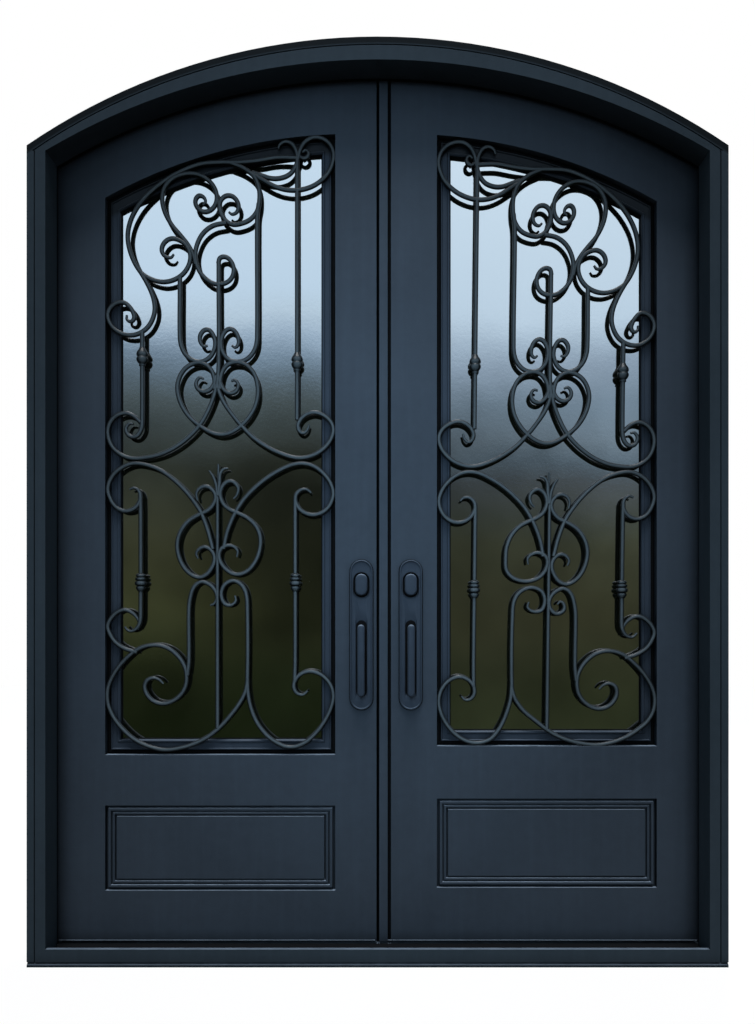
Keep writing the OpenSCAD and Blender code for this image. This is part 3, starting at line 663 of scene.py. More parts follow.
UPPER_BARS = [
    # sweep under the arch, down the hinge side and round the lower circle
    ([(203, 1613), (150, 1614), (100, 1606), (50, 1601), (0, 1601), (-50, 1597),
      (-100, 1579), (-150, 1550), (-200, 1507), (-232, 1460), (-246, 1410), (-240, 1360),
      (-215, 1308), (-185, 1286), (-150, 1278), (-115, 1288), (-90, 1312), (-80, 1345),
      (-90, 1375), (-110, 1391), (-132, 1395), (-150, 1383), (-156, 1363), (-147, 1347),
      (-132, 1344), (-124, 1353)], False, True),
    # branch from it to the scroll at the hinge side
    ([(-222, 1320), (-198, 1280), (-182, 1245), (-175, 1215), (-177, 1188), (-190, 1160),
      (-210, 1142), (-235, 1134), (-262, 1138), (-286, 1155), (-299, 1182), (-294, 1205),
      (-277, 1220), (-256, 1222), (-241, 1210), (-232, 1195), (-229, 1181), (-237, 1171),
      (-248, 1176), (-249, 1188)], False, True),
    # tall scroll left of the middle
    ([(-66, 1325), (-72, 1350), (-86, 1378), (-106, 1404), (-130, 1433), (-148, 1467),
      (-155, 1500), (-150, 1530), (-131, 1555), (-100, 1569), (-66, 1570), (-36, 1556),
      (-16, 1532), (-10, 1505), (-16, 1483), (-33, 1469), (-52, 1470), (-65, 1485),
      (-66, 1501), (-57, 1511), (-45, 1507), (-40, 1495), (-47, 1486)], False, True),
    # small scroll right of the middle
    ([(25, 1601), (60, 1586), (88, 1564), (101, 1535), (103, 1500), (97, 1470),
      (80, 1448), (55, 1436), (30, 1434), (9, 1449), (-3, 1475), (0, 1497), (13, 1510),
      (30, 1510), (43, 1498), (48, 1481), (43, 1467), (31, 1461), (22, 1467)], False, True),
    # round scroll in the middle
    ([(15, 1438), (-20, 1430), (-46, 1410), (-62, 1380), (-67, 1348), (-60, 1315),
      (-42, 1289), (-16, 1273), (10, 1274), (28, 1287), (35, 1308), (30, 1330),
      (15, 1345), (-1, 1343), (-6, 1328)], False, False),
    # stem from the round scroll up to the small one
    ([(-10, 1505), (-2, 1480), (4, 1460), (15, 1440)], False, False),
    # loop in the top corner
    ([(82, 1571), (110, 1555), (140, 1538), (170, 1528), (203, 1526), (235, 1533),
      (262, 1548), (285, 1572), (298, 1602), (299, 1628), (288, 1652), (268, 1666),
      (245, 1668), (225, 1657), (212, 1637), (205, 1608)], False, False),
    # straight bar at the lock side
    ([(203, 1622), (203, 905)], False, False),
    # hook beside the loop
    ([(153, 1638), (158, 1650), (172, 1657), (188, 1652), (199, 1636), (204, 1612),
      (199, 1590), (183, 1569), (160, 1559), (135, 1558), (108, 1566), (84, 1574)],
     True, False),
    # little curl inside the loop
    ([(203, 1636), (208, 1621), (219, 1612), (230, 1616), (233, 1627), (225, 1634),
      (217, 1628)], True, True),
    # straight bar right of the middle and its curl
    ([(101, 1490), (97, 1450), (97, 1130), (93, 1102), (82, 1081), (64, 1066),
      (42, 1062), (22, 1068), (7, 1085), (1, 1108), (4, 1130), (14, 1146), (27, 1151),
      (40, 1142), (47, 1126), (47, 1110), (39, 1101), (30, 1106)], False, True),
    # straight bar left of the middle and its curl
    ([(-108, 1292), (-108, 1250), (-108, 1130), (-104, 1104), (-93, 1082), (-75, 1067),
      (-54, 1062), (-34, 1070), (-20, 1087), (-14, 1110), (-19, 1133), (-31, 1148),
      (-44, 1147), (-54, 1133), (-54, 1116), (-45, 1104), (-34, 1106)], False, True),
    # middle bar
    ([(-5, 1330), (-5, 1280), (-5, 1050), (-10, 990)], False, False),
    # heart-shaped loop
    ([(-16, 988), (-17, 1018), (-28, 1044), (-52, 1059), (-80, 1054), (-102, 1034),
      (-114, 1002), (-112, 970), (-100, 938), (-80, 910), (-52, 887), (-25, 871),
      (0, 865), (25, 870), (52, 887), (76, 913), (93, 945), (99, 978), (96, 1010),
      (85, 1036), (65, 1055), (42, 1061), (20, 1055), (5, 1036), (-1, 1012),
      (-2, 988)], False, False),
    # curls inside the heart
    ([(-12, 1025), (-17, 1003), (-28, 987), (-44, 981), (-60, 989), (-65, 1005),
      (-56, 1019), (-45, 1016)], False, True),
    ([(-6, 1025), (0, 1002), (9, 986), (25, 977), (41, 983), (47, 999), (39, 1012),
      (28, 1010)], False, True),
    # long scroll to the hinge side
    ([(-11, 1000), (-16, 975), (-28, 942), (-45, 907), (-63, 881), (-92, 852),
      (-127, 827), (-162, 811), (-197, 803), (-235, 801), (-266, 812), (-289, 835),
      (-299, 866), (-294, 895), (-276, 916), (-252, 923), (-230, 915), (-212, 898)],
     False, False),
    # long scroll to the lock side
    ([(-8, 1000), (-3, 978), (10, 950), (29, 922), (54, 891), (86, 858), (125, 831),
      (165, 812), (205, 802), (242, 808), (272, 826), (293, 853), (299, 880), (290, 903),
      (270, 919), (246, 925), (222, 916), (207, 896), (207, 879), (218, 869),
      (229, 876), (235, 892)], False, True),
    # straight bar at the hinge side and its curl
    ([(-208, 1143), (-208, 1100), (-208, 905), (-211, 878), (-225, 860), (-242, 862),
      (-251, 879), (-243, 894), (-231, 894)], False, True),
]

LOWER_BARS = [
    # top scroll at the hinge side
    ([(-21, 556), (-32, 600), (-45, 638), (-55, 660), (-75, 690), (-100, 720),
      (-130, 748), (-162, 770), (-197, 783), (-231, 787), (-263, 775), (-287, 752),
      (-299, 720), (-292, 690), (-275, 667), (-251, 658), (-227, 667), (-213, 689),
      (-216, 711), (-229, 721), (-241, 717)], False, True),
    # top scroll at the lock side
    ([(8, 556), (15, 592), (26, 625), (41, 657), (62, 690), (91, 721), (121, 746),
      (152, 766), (186, 782), (216, 787), (246, 780), (272, 761), (291, 735),
      (299, 705), (290, 675), (270, 655), (243, 648), (216, 658), (200, 680),
      (200, 701), (212, 715), (228, 717), (240, 708)], False, True),
    # double scroll left of the middle
    ([(-61, 686), (-64, 704), (-56, 719), (-39, 725), (-23, 717), (-13, 698),
      (-19, 676), (-35, 659), (-60, 647), (-88, 628), (-108, 598), (-115, 563),
      (-107, 525), (-88, 495), (-60, 479), (-38, 486), (-22, 507), (-16, 530),
      (-23, 550), (-40, 561), (-56, 556), (-64, 543), (-60, 530)], True, True),
    # double scroll right of the middle
    ([(34, 691), (43, 701), (47, 718), (38, 734), (22, 739), (6, 727), (-1, 703), (7, 678),
      (25, 662), (48, 652), (75, 637), (97, 612), (106, 580), (102, 546), (89, 516),
      (68, 494), (40, 487), (15, 500), (-2, 525), (-2, 550), (14, 564), (33, 563),
      (45, 550), (43, 534)], True, True),
    # hooked straight bar left of the middle
    ([(-27, 403), (-15, 410), (-10, 428), (-17, 448), (-33, 462), (-52, 467),
      (-70, 453), (-80, 425), (-84, 390), (-84, 255), (-88, 215)], True, False),
    # hooked bar right of the middle, sweeping round the big scroll
    ([(38, 430), (40, 415), (28, 404), (12, 407), (3, 423), (3, 443), (13, 461),
      (33, 470), (53, 461), (66, 440), (71, 405), (71, 205), (65, 168), (46, 132),
      (20, 98), (-6, 70), (-35, 47), (-70, 29), (-110, 17), (-150, 13), (-190, 22),
      (-227, 40), (-258, 67), (-284, 101), (-299, 140), (-298, 182), (-279, 224),
      (-250, 260), (-215, 287), (-177, 296), (-143, 289), (-114, 267), (-95, 237),
      (-90, 205), (-97, 175), (-117, 151), (-145, 138), (-171, 141), (-191, 156),
      (-201, 179), (-196, 199), (-180, 207), (-163, 202), (-152, 191)], True, True),
    # scroll at the hinge side above the big one
    ([(-219, 338), (-217, 361), (-233, 382), (-257, 391), (-282, 378), (-299, 350),
      (-293, 325), (-278, 303), (-255, 287), (-222, 276)], True, False),
    # straight bar at the hinge side and its curl
    ([(-213, 700), (-212, 660), (-212, 385), (-214, 357), (-225, 339), (-242, 334),
      (-255, 345)], False, True),
    # scroll in the lower corner at the lock side
    ([(71, 205), (73, 165), (81, 125), (97, 86), (121, 54), (151, 31), (185, 20),
      (220, 30), (251, 56), (277, 92), (294, 130), (299, 163), (289, 193), (266, 216),
      (237, 225), (212, 217), (197, 199), (195, 179), (204, 165), (219, 162),
      (231, 172)], False, True),
    # straight bar at the lock side
    ([(198, 690), (198, 640), (198, 260), (197, 200)], False, False),
    # middle bar and its barbed tip
    ([(-8, 72), (-8, 120), (-8, 700), (-6, 740), (-6, 785)], False, True),
    ([(-6, 700), (-3, 735), (-1, 758), (7, 771), (20, 774)], False, True),
    ([(-8, 700), (-12, 730), (-20, 752), (-30, 767)], False, True),
]

# On the right the hooked straight bar, of that place in the list, ends in a full curl.
HOOKED = 4
RIGHT_CURL = [(-33, 424), (-42, 431), (-51, 424), (-52, 410), (-42, 400), (-28, 399)]

COLLARS = {
    "left_upper": [(-208, 1076), (203, 1062)],
    "right_upper": [(-208, 1060), (203, 1083)],
    "left_lower": [(-212, 466), (198, 466)],
    "right_lower": [(-212, 466), (198, 466)],
}

# What sets the right grille apart, in the pattern's units.
RIGHT_SAG = 36       # how far it hangs lower
SAG_FOOT = 150       # the sag grows over this height from the foot
SAG_HEAD = 350       # and fades over this height below the head
FOOT_SHARE = 0.2     # the share of it that is there at the foot
HEAD_SHARE = 0.35    # and the share at the head
RIGHT_LEAN = 8       # how far its bars lean over the height LEAN_V
LEAN_V = 670         # the height where the lean is nothing
LEAN_SIDE = 60       # the lean fades this near to the window's sides
RIGHT_SPREAD = 25    # how far its lower hooks are moved apart
HOOK_U = 85          # at this place across
HOOK_REACH = 70      # fading over this distance from it
HOOK_V = 600         # and only below this height
HOOK_FADE = 100      # fading in over this much


def shifted(side, point):
    """A point of the pattern, moved to where the right grille has it."""
    u, v = point
    if side == "left":
        return u, v
    sag = RIGHT_SAG * min(1, FOOT_SHARE + v / SAG_FOOT, HEAD_SHARE + (PATTERN_H - v) / SAG_HEAD)
    lean = RIGHT_LEAN * (v / LEAN_V - 1) * min(1, (PATTERN_W / 2 - abs(u)) / LEAN_SIDE)
    reach = RIGHT_SPREAD * max(0, 1 - abs(u - HOOK_U) / HOOK_REACH)
    reach *= min(1, max(0, (HOOK_V - v) / HOOK_FADE))
    return u + reach - lean, v - sag


def bar_point(side, point):
    """Place (x, z) on a leaf of a point of the pattern."""
    sizes = bpy.context.scene.door_sizes
    hinge, lock, foot = window_box(side)
    u, v = shifted(side, point)
    x = (hinge + lock) / 2 + u * (lock - hinge - sizes.bar_w + 2 * WELD) / PATTERN_W
    z = foot + v * (sizes.window_top_z - foot) / PATTERN_H
    return Vector((-SIDES[side] * x, z))


def smoothed(points, steps):
    """A smooth curve through points, each passed along the line between its neighbours."""

    def heading(i):
        return (points[min(i + 1, len(points) - 1)] - points[max(i - 1, 0)]).normalized()

    made = []
    for i in range(len(points) - 1):
        step = points[i + 1] - points[i]
        m0 = step.length * heading(i)
        m1 = step.length * heading(i + 1)
        for k in range(steps):
            t = k / steps
            made.append(points[i] + t * m0 + t**2 * (3 * step - 2 * m0 - m1)
                        + t**3 * (m0 + m1 - 2 * step))
    made.append(points[-1])
    return made


def bar_group(name):
    """Geometry nodes that give each path a bar of rounded square section."""
    tree, given, out = group_tree(
        name,
        "GeometryNodeTree",
        [
            ("Geometry", "NodeSocketGeometry", None),
            ("Width", "NodeSocketFloat", 0.013),
            ("Thickness", "NodeSocketFloat", 0.013),
            ("Corner", "NodeSocketFloat", 0.004),
            ("Corner Steps", "NodeSocketInt", 4),
            ("Material", "NodeSocketMaterial", None),
        ],
        [("Geometry", "NodeSocketGeometry")],
    )
    upright = {"Curve": given["Geometry"], "Normal": (0.0, 1.0, 0.0)}
    paths = node(tree, "GeometryNodeSetCurveNormal", upright, mode="FREE")
    square = {"Width": given["Thickness"], "Height": given["Width"]}
    section = node(tree, "GeometryNodeCurvePrimitiveQuadrilateral", square, mode="RECTANGLE")
    rounded = node(tree, "GeometryNodeFilletCurve", {
        "Curve": section.outputs["Curve"], "Radius": given["Corner"],
        "Count": given["Corner Steps"],
    }, mode="POLY")
    bars = node(tree, "GeometryNodeCurveToMesh", {
        "Curve": paths.outputs["Curve"], "Profile Curve": rounded.outputs["Curve"],
        "Scale": node(tree, "GeometryNodeInputRadius").outputs["Radius"], "Fill Caps": True,
    })
    smooth = node(tree, "GeometryNodeSetShadeSmooth", {"Geometry": bars.outputs["Mesh"]})
    real = node(tree, "GeometryNodeRealizeInstances", {"Geometry": smooth.outputs["Geometry"]})
    dressed = node(tree, "GeometryNodeSetMaterial", {
        "Geometry": real.outputs["Geometry"], "Material": given["Material"],
    })
    feed(tree, out, {"Geometry": dressed.outputs["Geometry"]})
    return tree


def set_inputs(modifier, values):
    """Sets a modifier's named inputs through their sockets' identifiers."""
    for item in modifier.node_group.interface.items_tree:
        if item.item_type == "SOCKET" and item.in_out == "INPUT" and item.name in values:
            modifier[item.identifier] = values[item.name]


def grille_bars(side, half):
    """The bars of one half of a grille."""
    if half == "upper":
        return UPPER_BARS
    if side == "left":
        return LOWER_BARS
    points, *thin = LOWER_BARS[HOOKED]
    return LOWER_BARS[:HOOKED] + [(RIGHT_CURL + points[1:], *thin)] + LOWER_BARS[HOOKED + 1:]


def bar_paths(name, side, bars, depth):
    """A curve object with one path for each bar, thinner towards its tips."""
    sizes = bpy.context.scene.door_sizes
    paths = bpy.data.curves.new(name, "CURVE")
    paths.dimensions = "3D"
    tip = sizes.tip_w / sizes.bar_w
    taper = TAPER * sizes.steps
    for k, (points, thin_start, thin_end) in enumerate(bars):
        line = smoothed([bar_point(side, p) for p in points], sizes.steps)
        last = len(line) - 1
        spline = paths.splines.new("POLY")
        spline.points.add(last)
        y = depth + CROSSING * (k % 3 - 1)
        for i, p in enumerate(line):
            full = min(1, i / taper if thin_start else 1, (last - i) / taper if thin_end else 1)
            spline.points[i].co = (p.x, y, p.y, 1.0)
            spline.points[i].radius = tip + (1 - tip) * full
    return link(bpy.data.objects.new(name, paths))


# Turned collars as (share of the radius, height over the collar's middle in millimetres).
BALL_COLLAR = [(0.42, -27), (0.56, -25), (0.56, -22), (0.5, -20), (0.72, -17), (0.9, -13),
               (0.98, -9), (1.0, -6), (0.96, -3), (0.84, -1), (0.84, 1), (0.96, 3), (1.0, 6),
               (0.98, 9), (0.9, 13), (0.74, 17), (0.56, 21), (0.5, 24), (0.42, 26)]
RING_COLLAR = [(0.42, -26), (0.5, -25), (0.62, -22), (0.78, -18), (0.82, -15), (0.78, -12),
               (0.62, -11), (0.66, -10), (0.92, -8), (1.0, -5), (1.0, -1), (0.92, 2),
               (0.7, 3), (0.7, 4), (0.9, 6), (0.96, 9), (0.9, 12), (0.66, 13), (0.66, 14),
               (0.8, 16), (0.84, 18), (0.78, 21), (0.56, 23), (0.42, 24)]
COLLAR_ACROSS = 1.12   # a collar is this much wider than deep


class DOOR_OT_forge_grilles(Operator):
    """Forge the scrolled grilles of both windows"""

    bl_idname = "door.forge_grilles"
    bl_label = "Forge grilles"

    def execute(self, context):
        sizes = context.scene.door_sizes
        for side in SIDES:
            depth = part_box(side + "_hinge_stile")[0][1] + sizes.bar_t / 2
            for half in ("upper", "lower"):
                self.forge_bars(side, half, depth, sizes)
                self.turn_collars(side, half, depth, sizes)
        return {"FINISHED"}

    def forge_bars(self, side, half, depth, sizes):
        paths = bar_paths(f"{side}_{half}_scrolls", side, grille_bars(side, half), depth)
        forge = paths.modifiers.new("forge", "NODES")
        forge.node_group = shared_group("Forged bars", bar_group)
        set_inputs(forge, {
            "Width": sizes.bar_w, "Thickness": sizes.bar_t, "Corner": sizes.bar_corner,
            "Corner Steps": CORNER_STEPS, "Material": finish("Forged iron"),
        })
        scrolls = settle(paths)
        keep_sharp(scrolls, degrees=40)
        cad = f"{side}_{half}_grille"
        place_piece(scrolls, side + "_leaf", "Forged iron", [cad])

    def turn_collars(self, side, half, depth, sizes):
        bm = bmesh.new()
        shape = BALL_COLLAR if half == "upper" else RING_COLLAR
        profile = [(share * sizes.collar_r, h / 1000) for share, h in shape]
        for point in COLLARS[f"{side}_{half}"]:
            p = bar_point(side, point)
            lathe(bm, profile, Vector((p.x, depth, p.y)), COLLAR_ACROSS)
        collars = add_mesh(f"{side}_{half}_collars", bm)
        keep_sharp(collars, degrees=50)
        place_piece(collars, side + "_leaf", "Forged iron")


# ---- frame and leaves ----

FRAME_EDGE = 1.6   # the frame's edges are rounder than the leaves' by this


class DOOR_OT_weld_frame(Operator):
    """Weld the frame into one painted skin and finish its seal"""

    bl_idname = "door.weld_frame"
    bl_label = "Weld frame"

    def execute(self, context):
        parts = ["left_jamb", "head_arch", "right_jamb", "threshold"]
        skin = welded("door_frame", parts)
        round_edges(skin, FRAME_EDGE * context.scene.door_sizes.edge)
        place_piece(skin, "frame", "Frame paint", parts)
        coat(frame["nodes"]["weather_seal"], "Seal rubber")
        return {"FINISHED"}


class DOOR_OT_weld_leaves(Operator):
    """Weld each leaf's stiles and rails into one painted skin, with its kick panel"""

    bl_idname = "door.weld_leaves"
    bl_label = "Weld leaves"

    def execute(self, context):
        sizes = context.scene.door_sizes
        for side in SIDES:
            parts = [f"{side}_{n}" for n in ("hinge_stile", "top_rail", "lock_stile", "lower_rails")]
            if side == "right":
                parts.append("astragal")
            skin = welded(side + "_leaf_skin", parts)
            self.paint_piece(skin, side, sizes.edge, parts)
            for n, width in (("kick_mouldings", sizes.moulding_edge), ("kick_panel", sizes.edge)):
                piece = merged_copy(f"{side}_{n}", f"{side}_{n}_skin")
                self.paint_piece(piece, side, width, [f"{side}_{n}"])
        return {"FINISHED"}

    def paint_piece(self, piece, side, edge, nodes):
        round_edges(piece, edge)
        place_piece(piece, side + "_leaf", "Leaf paint", nodes)


# ---- windows ----

SASH_FLANGE = 0.026   # the sash's flange lies this far behind the leaf's face
CHAMFER = 0.001       # of the sash's edges; its channel is set out in steps of this
LAP = 0.0003          # rubber and beads reach this far into what they lie on


def glass_margins(sizes, back=0.0):
    """Margins from the opening to the glass, or to a line that far short of it."""
    widths = (sizes.sash_w, sizes.sash_rail_w, sizes.sash_sill_w)
    return tuple(sizes.sash_groove_w + w - back for w in widths)


def window_ring(name, side, section, degrees):
    """A strip round a window with a section of (margins, depth) points and its sharp turns."""
    rings = []
    for margins, y in [*section, section[0]]:
        if isinstance(margins, float):
            margins = (margins,) * 3
        rings.append([Vector((x, y, z)) for x, z in window_loop(side, margins)])
    bm = bmesh.new()
    loft(bm, rings, caps=False)
    ring = add_mesh(name, bm)
    keep_sharp(ring, degrees)
    return ring


class DOOR_OT_glaze(Operator):
    """Press the sashes, set the obscure glass and run rubber round both"""

    bl_idname = "door.glaze"
    bl_label = "Glaze windows"

    def execute(self, context):
        sizes = context.scene.door_sizes
        for side in SIDES:
            coat(frame["nodes"][side + "_glass"], "Obscure glass")
            self.press_sash(side, sizes)
            self.run_gaskets(side, sizes)
        return {"FINISHED"}

    def press_sash(self, side, sizes):
        """A frame with a flange behind a groove and a shallow channel in its front."""
        low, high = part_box(side + "_sash")
        front, back, lip = low[1], high[1], sizes.sash_lip
        flange = front_of(side + "_hinge_stile", "outer") + SASH_FLANGE
        g, c = sizes.sash_groove_w, CHAMFER
        section = [(0.0, flange), (g, flange), (g, front + c), (g + c, front),
                   (g + 3 * c, front), (g + 5 * c, front + lip),
                   (glass_margins(sizes, 8 * c), front + lip),
                   (glass_margins(sizes, 6 * c), front),
                   (glass_margins(sizes, 3 * c), front),
                   (glass_margins(sizes), front + 3 * c),
                   (glass_margins(sizes), back - c), (glass_margins(sizes, c), back),
                   (0.0, back)]
        sash = window_ring(side + "_sash_skin", side, section, degrees=20)
        place_piece(sash, side + "_leaf", "Sash paint", [side + "_sash"])
        # black rubber lies in the groove's floor; it is a seal and also paints the deep groove's
        # shade
        inset, sunk = 0.0005, 0.0002
        section = [(inset, flange + sunk), (inset, flange - 0.004), (0.3 * g, flange - 0.006),
                   (0.7 * g, flange - 0.006), (g - inset, flange - 0.004),
                   (g - inset, flange + sunk)]
        strip = window_ring(side + "_sash_seal", side, section, degrees=30)
        place_rubber(strip, side + "_leaf")

    def run_gaskets(self, side, sizes):
        """Rubber that laps over both faces of the glass along its edge."""
        profile = [(0.0, -LAP), (0.0, 0.0025), (0.0012, 0.0028),
                   (sizes.gasket_w, 0.001), (sizes.gasket_w, -LAP)]
        for face, out in FACES.items():
            y = front_of(side + "_glass", face)
            section = [(glass_margins(sizes, -over), y + out * rise) for over, rise in profile]
            gasket = window_ring(f"{side}_{face}_gasket", side, section, degrees=30)
            place_rubber(gasket, side + "_leaf")


# ---- handles ----

SET_IN = 0.0002   # plates and their beds reach this far into what they lie on
RIM = 0.003       # a plate's rim stands this far over its field
# the dishes' floors get a dark rubber lining, which paints the shade in them
SHADE_LINING = 0.0006   # thickness of the rubber on a dish's floor
PULL_T = 0.014    # thickness of a pull, and of its round posts
POST_IN = 0.018   # from a pull's end to the middle of its post
POST_SUNK = 0.0058   # the posts start this far under the plate's field
POST_LAP = 0.003     # and end this far inside the pull
HAIR = 1e-5          # a round post is an oval that is taller than wide by this
COVER_FOOT = 0.002   # the lock covers start this far over the leaf's face

# Dishes in the plates: the part in it, how far its middle lies over that part's, what its
# mouth and its floor add to that part's width and height, the floor's lift, and its depth.
DISHES = {
    "lock": ("_lock_covers", -0.004, (0.011, 0.018), (0.008, 0.008), 0.004, 0.0052),
    "pull": ("_pulls", 0.0065, (0.013, 0.040), (0.009, 0.011), -0.0025, 0.0055),
}
# Rings of a plate's rim: how much narrower than the plate, and how far under the rim's top.
PLATE_RIM = [(0.0, 0.002), (0.0015, 0.0005), (0.004, 0.0), (0.007, 0.0004),
             (0.01, RIM - 0.0003), (0.013, RIM)]
# Rings of the dark rubber bed round a plate, a painted shadow line at its edge: how much wider than
# the plate, and how high.
PLATE_SHADE_BED = [(0.004, -SET_IN), (0.004, 0.0007), (0.003, 0.0012)]
# Rings of a pull: (inset, height over its back), then (inset, depth under its front).
PULL_BACK = [(0.0045, 0.0), (0.002, 0.0007), (0.0005, 0.0025), (0.0, 0.005)]
PULL_FRONT = [(0.0, 0.0065), (0.0006, 0.004), (0.0018, 0.002), (0.0036, 0.0006), (0.006, 0.0)]
# Rings of a lock cover: how much narrower than its foot, and its share of the height.
COVER_DOME = [(0.0, 0.0), (0.0, 0.45), (0.0006, 0.65), (0.002, 0.82), (0.004, 0.91),
              (0.007, 0.96), (0.012, 0.985), (0.022, 1.0)]


class DOOR_OT_fit_handles(Operator):
    """Fit the dished back plates, pulls and lock covers to both faces of the leaves"""

    bl_idname = "door.fit_handles"
    bl_label = "Fit handles"

    def execute(self, context):
        for side in SIDES:
            for face, out in FACES.items():
                ground = front_of(side + "_hinge_stile", face)
                rise, cover, pull = (
                    abs(front_of(side + part, face) - ground)
                    for part in ("_handle_plates", "_lock_covers", "_pulls")
                )
                self.dish_plate(side, face, out, ground, rise)
                self.dome_cover(side, face, out, ground, cover)
                self.round_pull(side, face, out, ground, pull, rise - RIM - POST_SUNK)
            for node_name in (side + "_handle_plates", side + "_lock_covers", side + "_pulls"):
                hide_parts(node_name)
        return {"FINISHED"}

    def dish_plate(self, side, face, out, ground, rise):
        """A plate with a raised rim, and dishes under the lock cover and the pull."""
        x, z, w, h = oval_of(side + "_handle_plates")
        field = rise - RIM
        rim = [(w - inset, h - inset, rise - drop) for inset, drop in PLATE_RIM]
        bm = bmesh.new()
        stack_ovals(bm, (x, ground, z), out, [(w, h, -SET_IN), *rim])
        plate = add_mesh(f"{side}_{face}_plate", bm)
        # dark rubber lines each dish and rings the plate, as painted shade in the dishes and a
        # painted shadow line round the plate
        cutters = []
        bed = bmesh.new()
        for name, (part, over, wider_mouth, wider_floor, lift, depth) in DISHES.items():
            _, part_z, part_w, part_h = oval_of(side + part)
            place = (x, ground, part_z + over)
            mouth = (part_w + wider_mouth[0], part_h + wider_mouth[1])
            floor = (part_w + wider_floor[0], part_h + wider_floor[1])
            level = field - depth
            dish = bmesh.new()
            stack_ovals(dish, place, out, [
                (*floor, level, lift), (*mouth, field), (*mouth, rise + 0.01)])
            cutters.append(add_mesh(f"{side}_{face}_{name}_dish", dish))
            stack_ovals(bed, place, out, [
                (*floor, level - SET_IN, lift), (*floor, level + SHADE_LINING, lift)])
        rings = [(w + wider, h + wider, high) for wider, high in PLATE_SHADE_BED]
        stack_ovals(bed, (x, ground, z), out, rings)
        place_rubber(add_mesh(f"{side}_{face}_shade_bed", bed, smooth=False), side + "_leaf")
        self.finish_iron(combined(plate, cutters, "DIFFERENCE"), side, degrees=32)

    def round_pull(self, side, face, out, ground, front, root):
        """A round-edged grip on two posts."""
        x, z, w, h = oval_of(side + "_pulls")
        back = front - PULL_T
        rings = [(inset, back + up) for inset, up in PULL_BACK]
        rings += [(inset, front - down) for inset, down in PULL_FRONT]
        bm = bmesh.new()
        stack_ovals(bm, (x, ground, z), out, [
            (w - 2 * inset, h - 2 * inset, stand) for inset, stand in rings])
        for end in (-1, 1):
            place = (x, ground, z + end * (h / 2 - POST_IN))
            stack_ovals(bm, place, out, [
                (PULL_T, PULL_T + HAIR, stand) for stand in (root, back + POST_LAP)])
        self.finish_iron(add_mesh(f"{side}_{face}_pull", bm), side, degrees=40)

    def dome_cover(self, side, face, out, ground, front):
        """A domed oval over the lock, standing in its dish."""
        x, z, w, h = oval_of(side + "_lock_covers")
        tall = front - COVER_FOOT
        bm = bmesh.new()
        stack_ovals(bm, (x, ground, z), out, [
            (w - inset, h - inset, COVER_FOOT + share * tall) for inset, share in COVER_DOME])
        self.finish_iron(add_mesh(f"{side}_{face}_lock_dome", bm), side, degrees=40)

    def finish_iron(self, piece, side, degrees):
        keep_sharp(piece, degrees)
        place_piece(piece, side + "_leaf", "Handle iron")


# ---- hinges ----

HINGE_HEIGHTS = (0.26, 1.08, 1.9)   # middles of the barrels
HINGE_TALL = 0.12
# A finial as (radius, height over the barrel's end).
FINIAL = [(0.0098, 0.0), (0.0104, 0.001), (0.0104, 0.0025), (0.007, 0.004), (0.006, 0.0055),
          (0.0078, 0.0075), (0.0086, 0.010), (0.0078, 0.0125), (0.0055, 0.0145), (0.002, 0.0155)]


class DOOR_OT_hang_hinges(Operator):
    """Finish the hinges and cap their barrels with turned finials"""

    bl_idname = "door.hang_hinges"
    bl_label = "Hang hinges"

    def execute(self, context):
        for side in SIDES:
            coat(frame["nodes"][side + "_hinge_barrels"], "Hinge steel")
            coat(frame["nodes"][side + "_leaf_hinges"], "Hinge steel")
            joint = next(j for j in frame["joints"] if j["name"] == side + "_swing")
            x, y = joint["pos_m"][:2]
            for end, body, way in (("top", side + "_leaf", 1), ("foot", "frame", -1)):
                rows = [(r, way * h) for r, h in FINIAL]
                bm = bmesh.new()
                for z in HINGE_HEIGHTS:
                    lathe(bm, rows, Vector((x, y, z + way * HINGE_TALL / 2)), sides=24)
                caps = add_mesh(f"{side}_finials_{end}", bm)
                place_piece(caps, body, "Hinge steel")
        return {"FINISHED"}


# ---- seals ----

CLEAR = 0.001          # seals stop this short of what lies at their ends
LIP_ROOT = 0.0005      # the lip reaches this far into the meeting strip
SWEEP_UP = 0.001       # a sweep and its bead reach this far into the leaf's foot
SWEEP_IN = 0.004       # and end this far inside its sides
STRIP_RUBBER = 0.004   # the rubber stands this far over its groove's floor
SILL_RUBBER = 0.0085   # and this one over the sill
SILL_FRONT = 0.012     # it starts this far before the weather seal
SILL_BACK = 0.002      # and stops this far before the seal's back
SILL_IN = 0.015        # and inside its ends


def crowned(low, high, root, crown):
    """Section of a rubber between two sides, its corners cut away at the crown."""
    cut = min(high - low, abs(crown - root)) / 4
    shoulder = crown + math.copysign(cut, root - crown)
    return [(low, root), (low, shoulder), (low + cut, crown), (high - cut, crown),
            (high, shoulder), (high, root)]


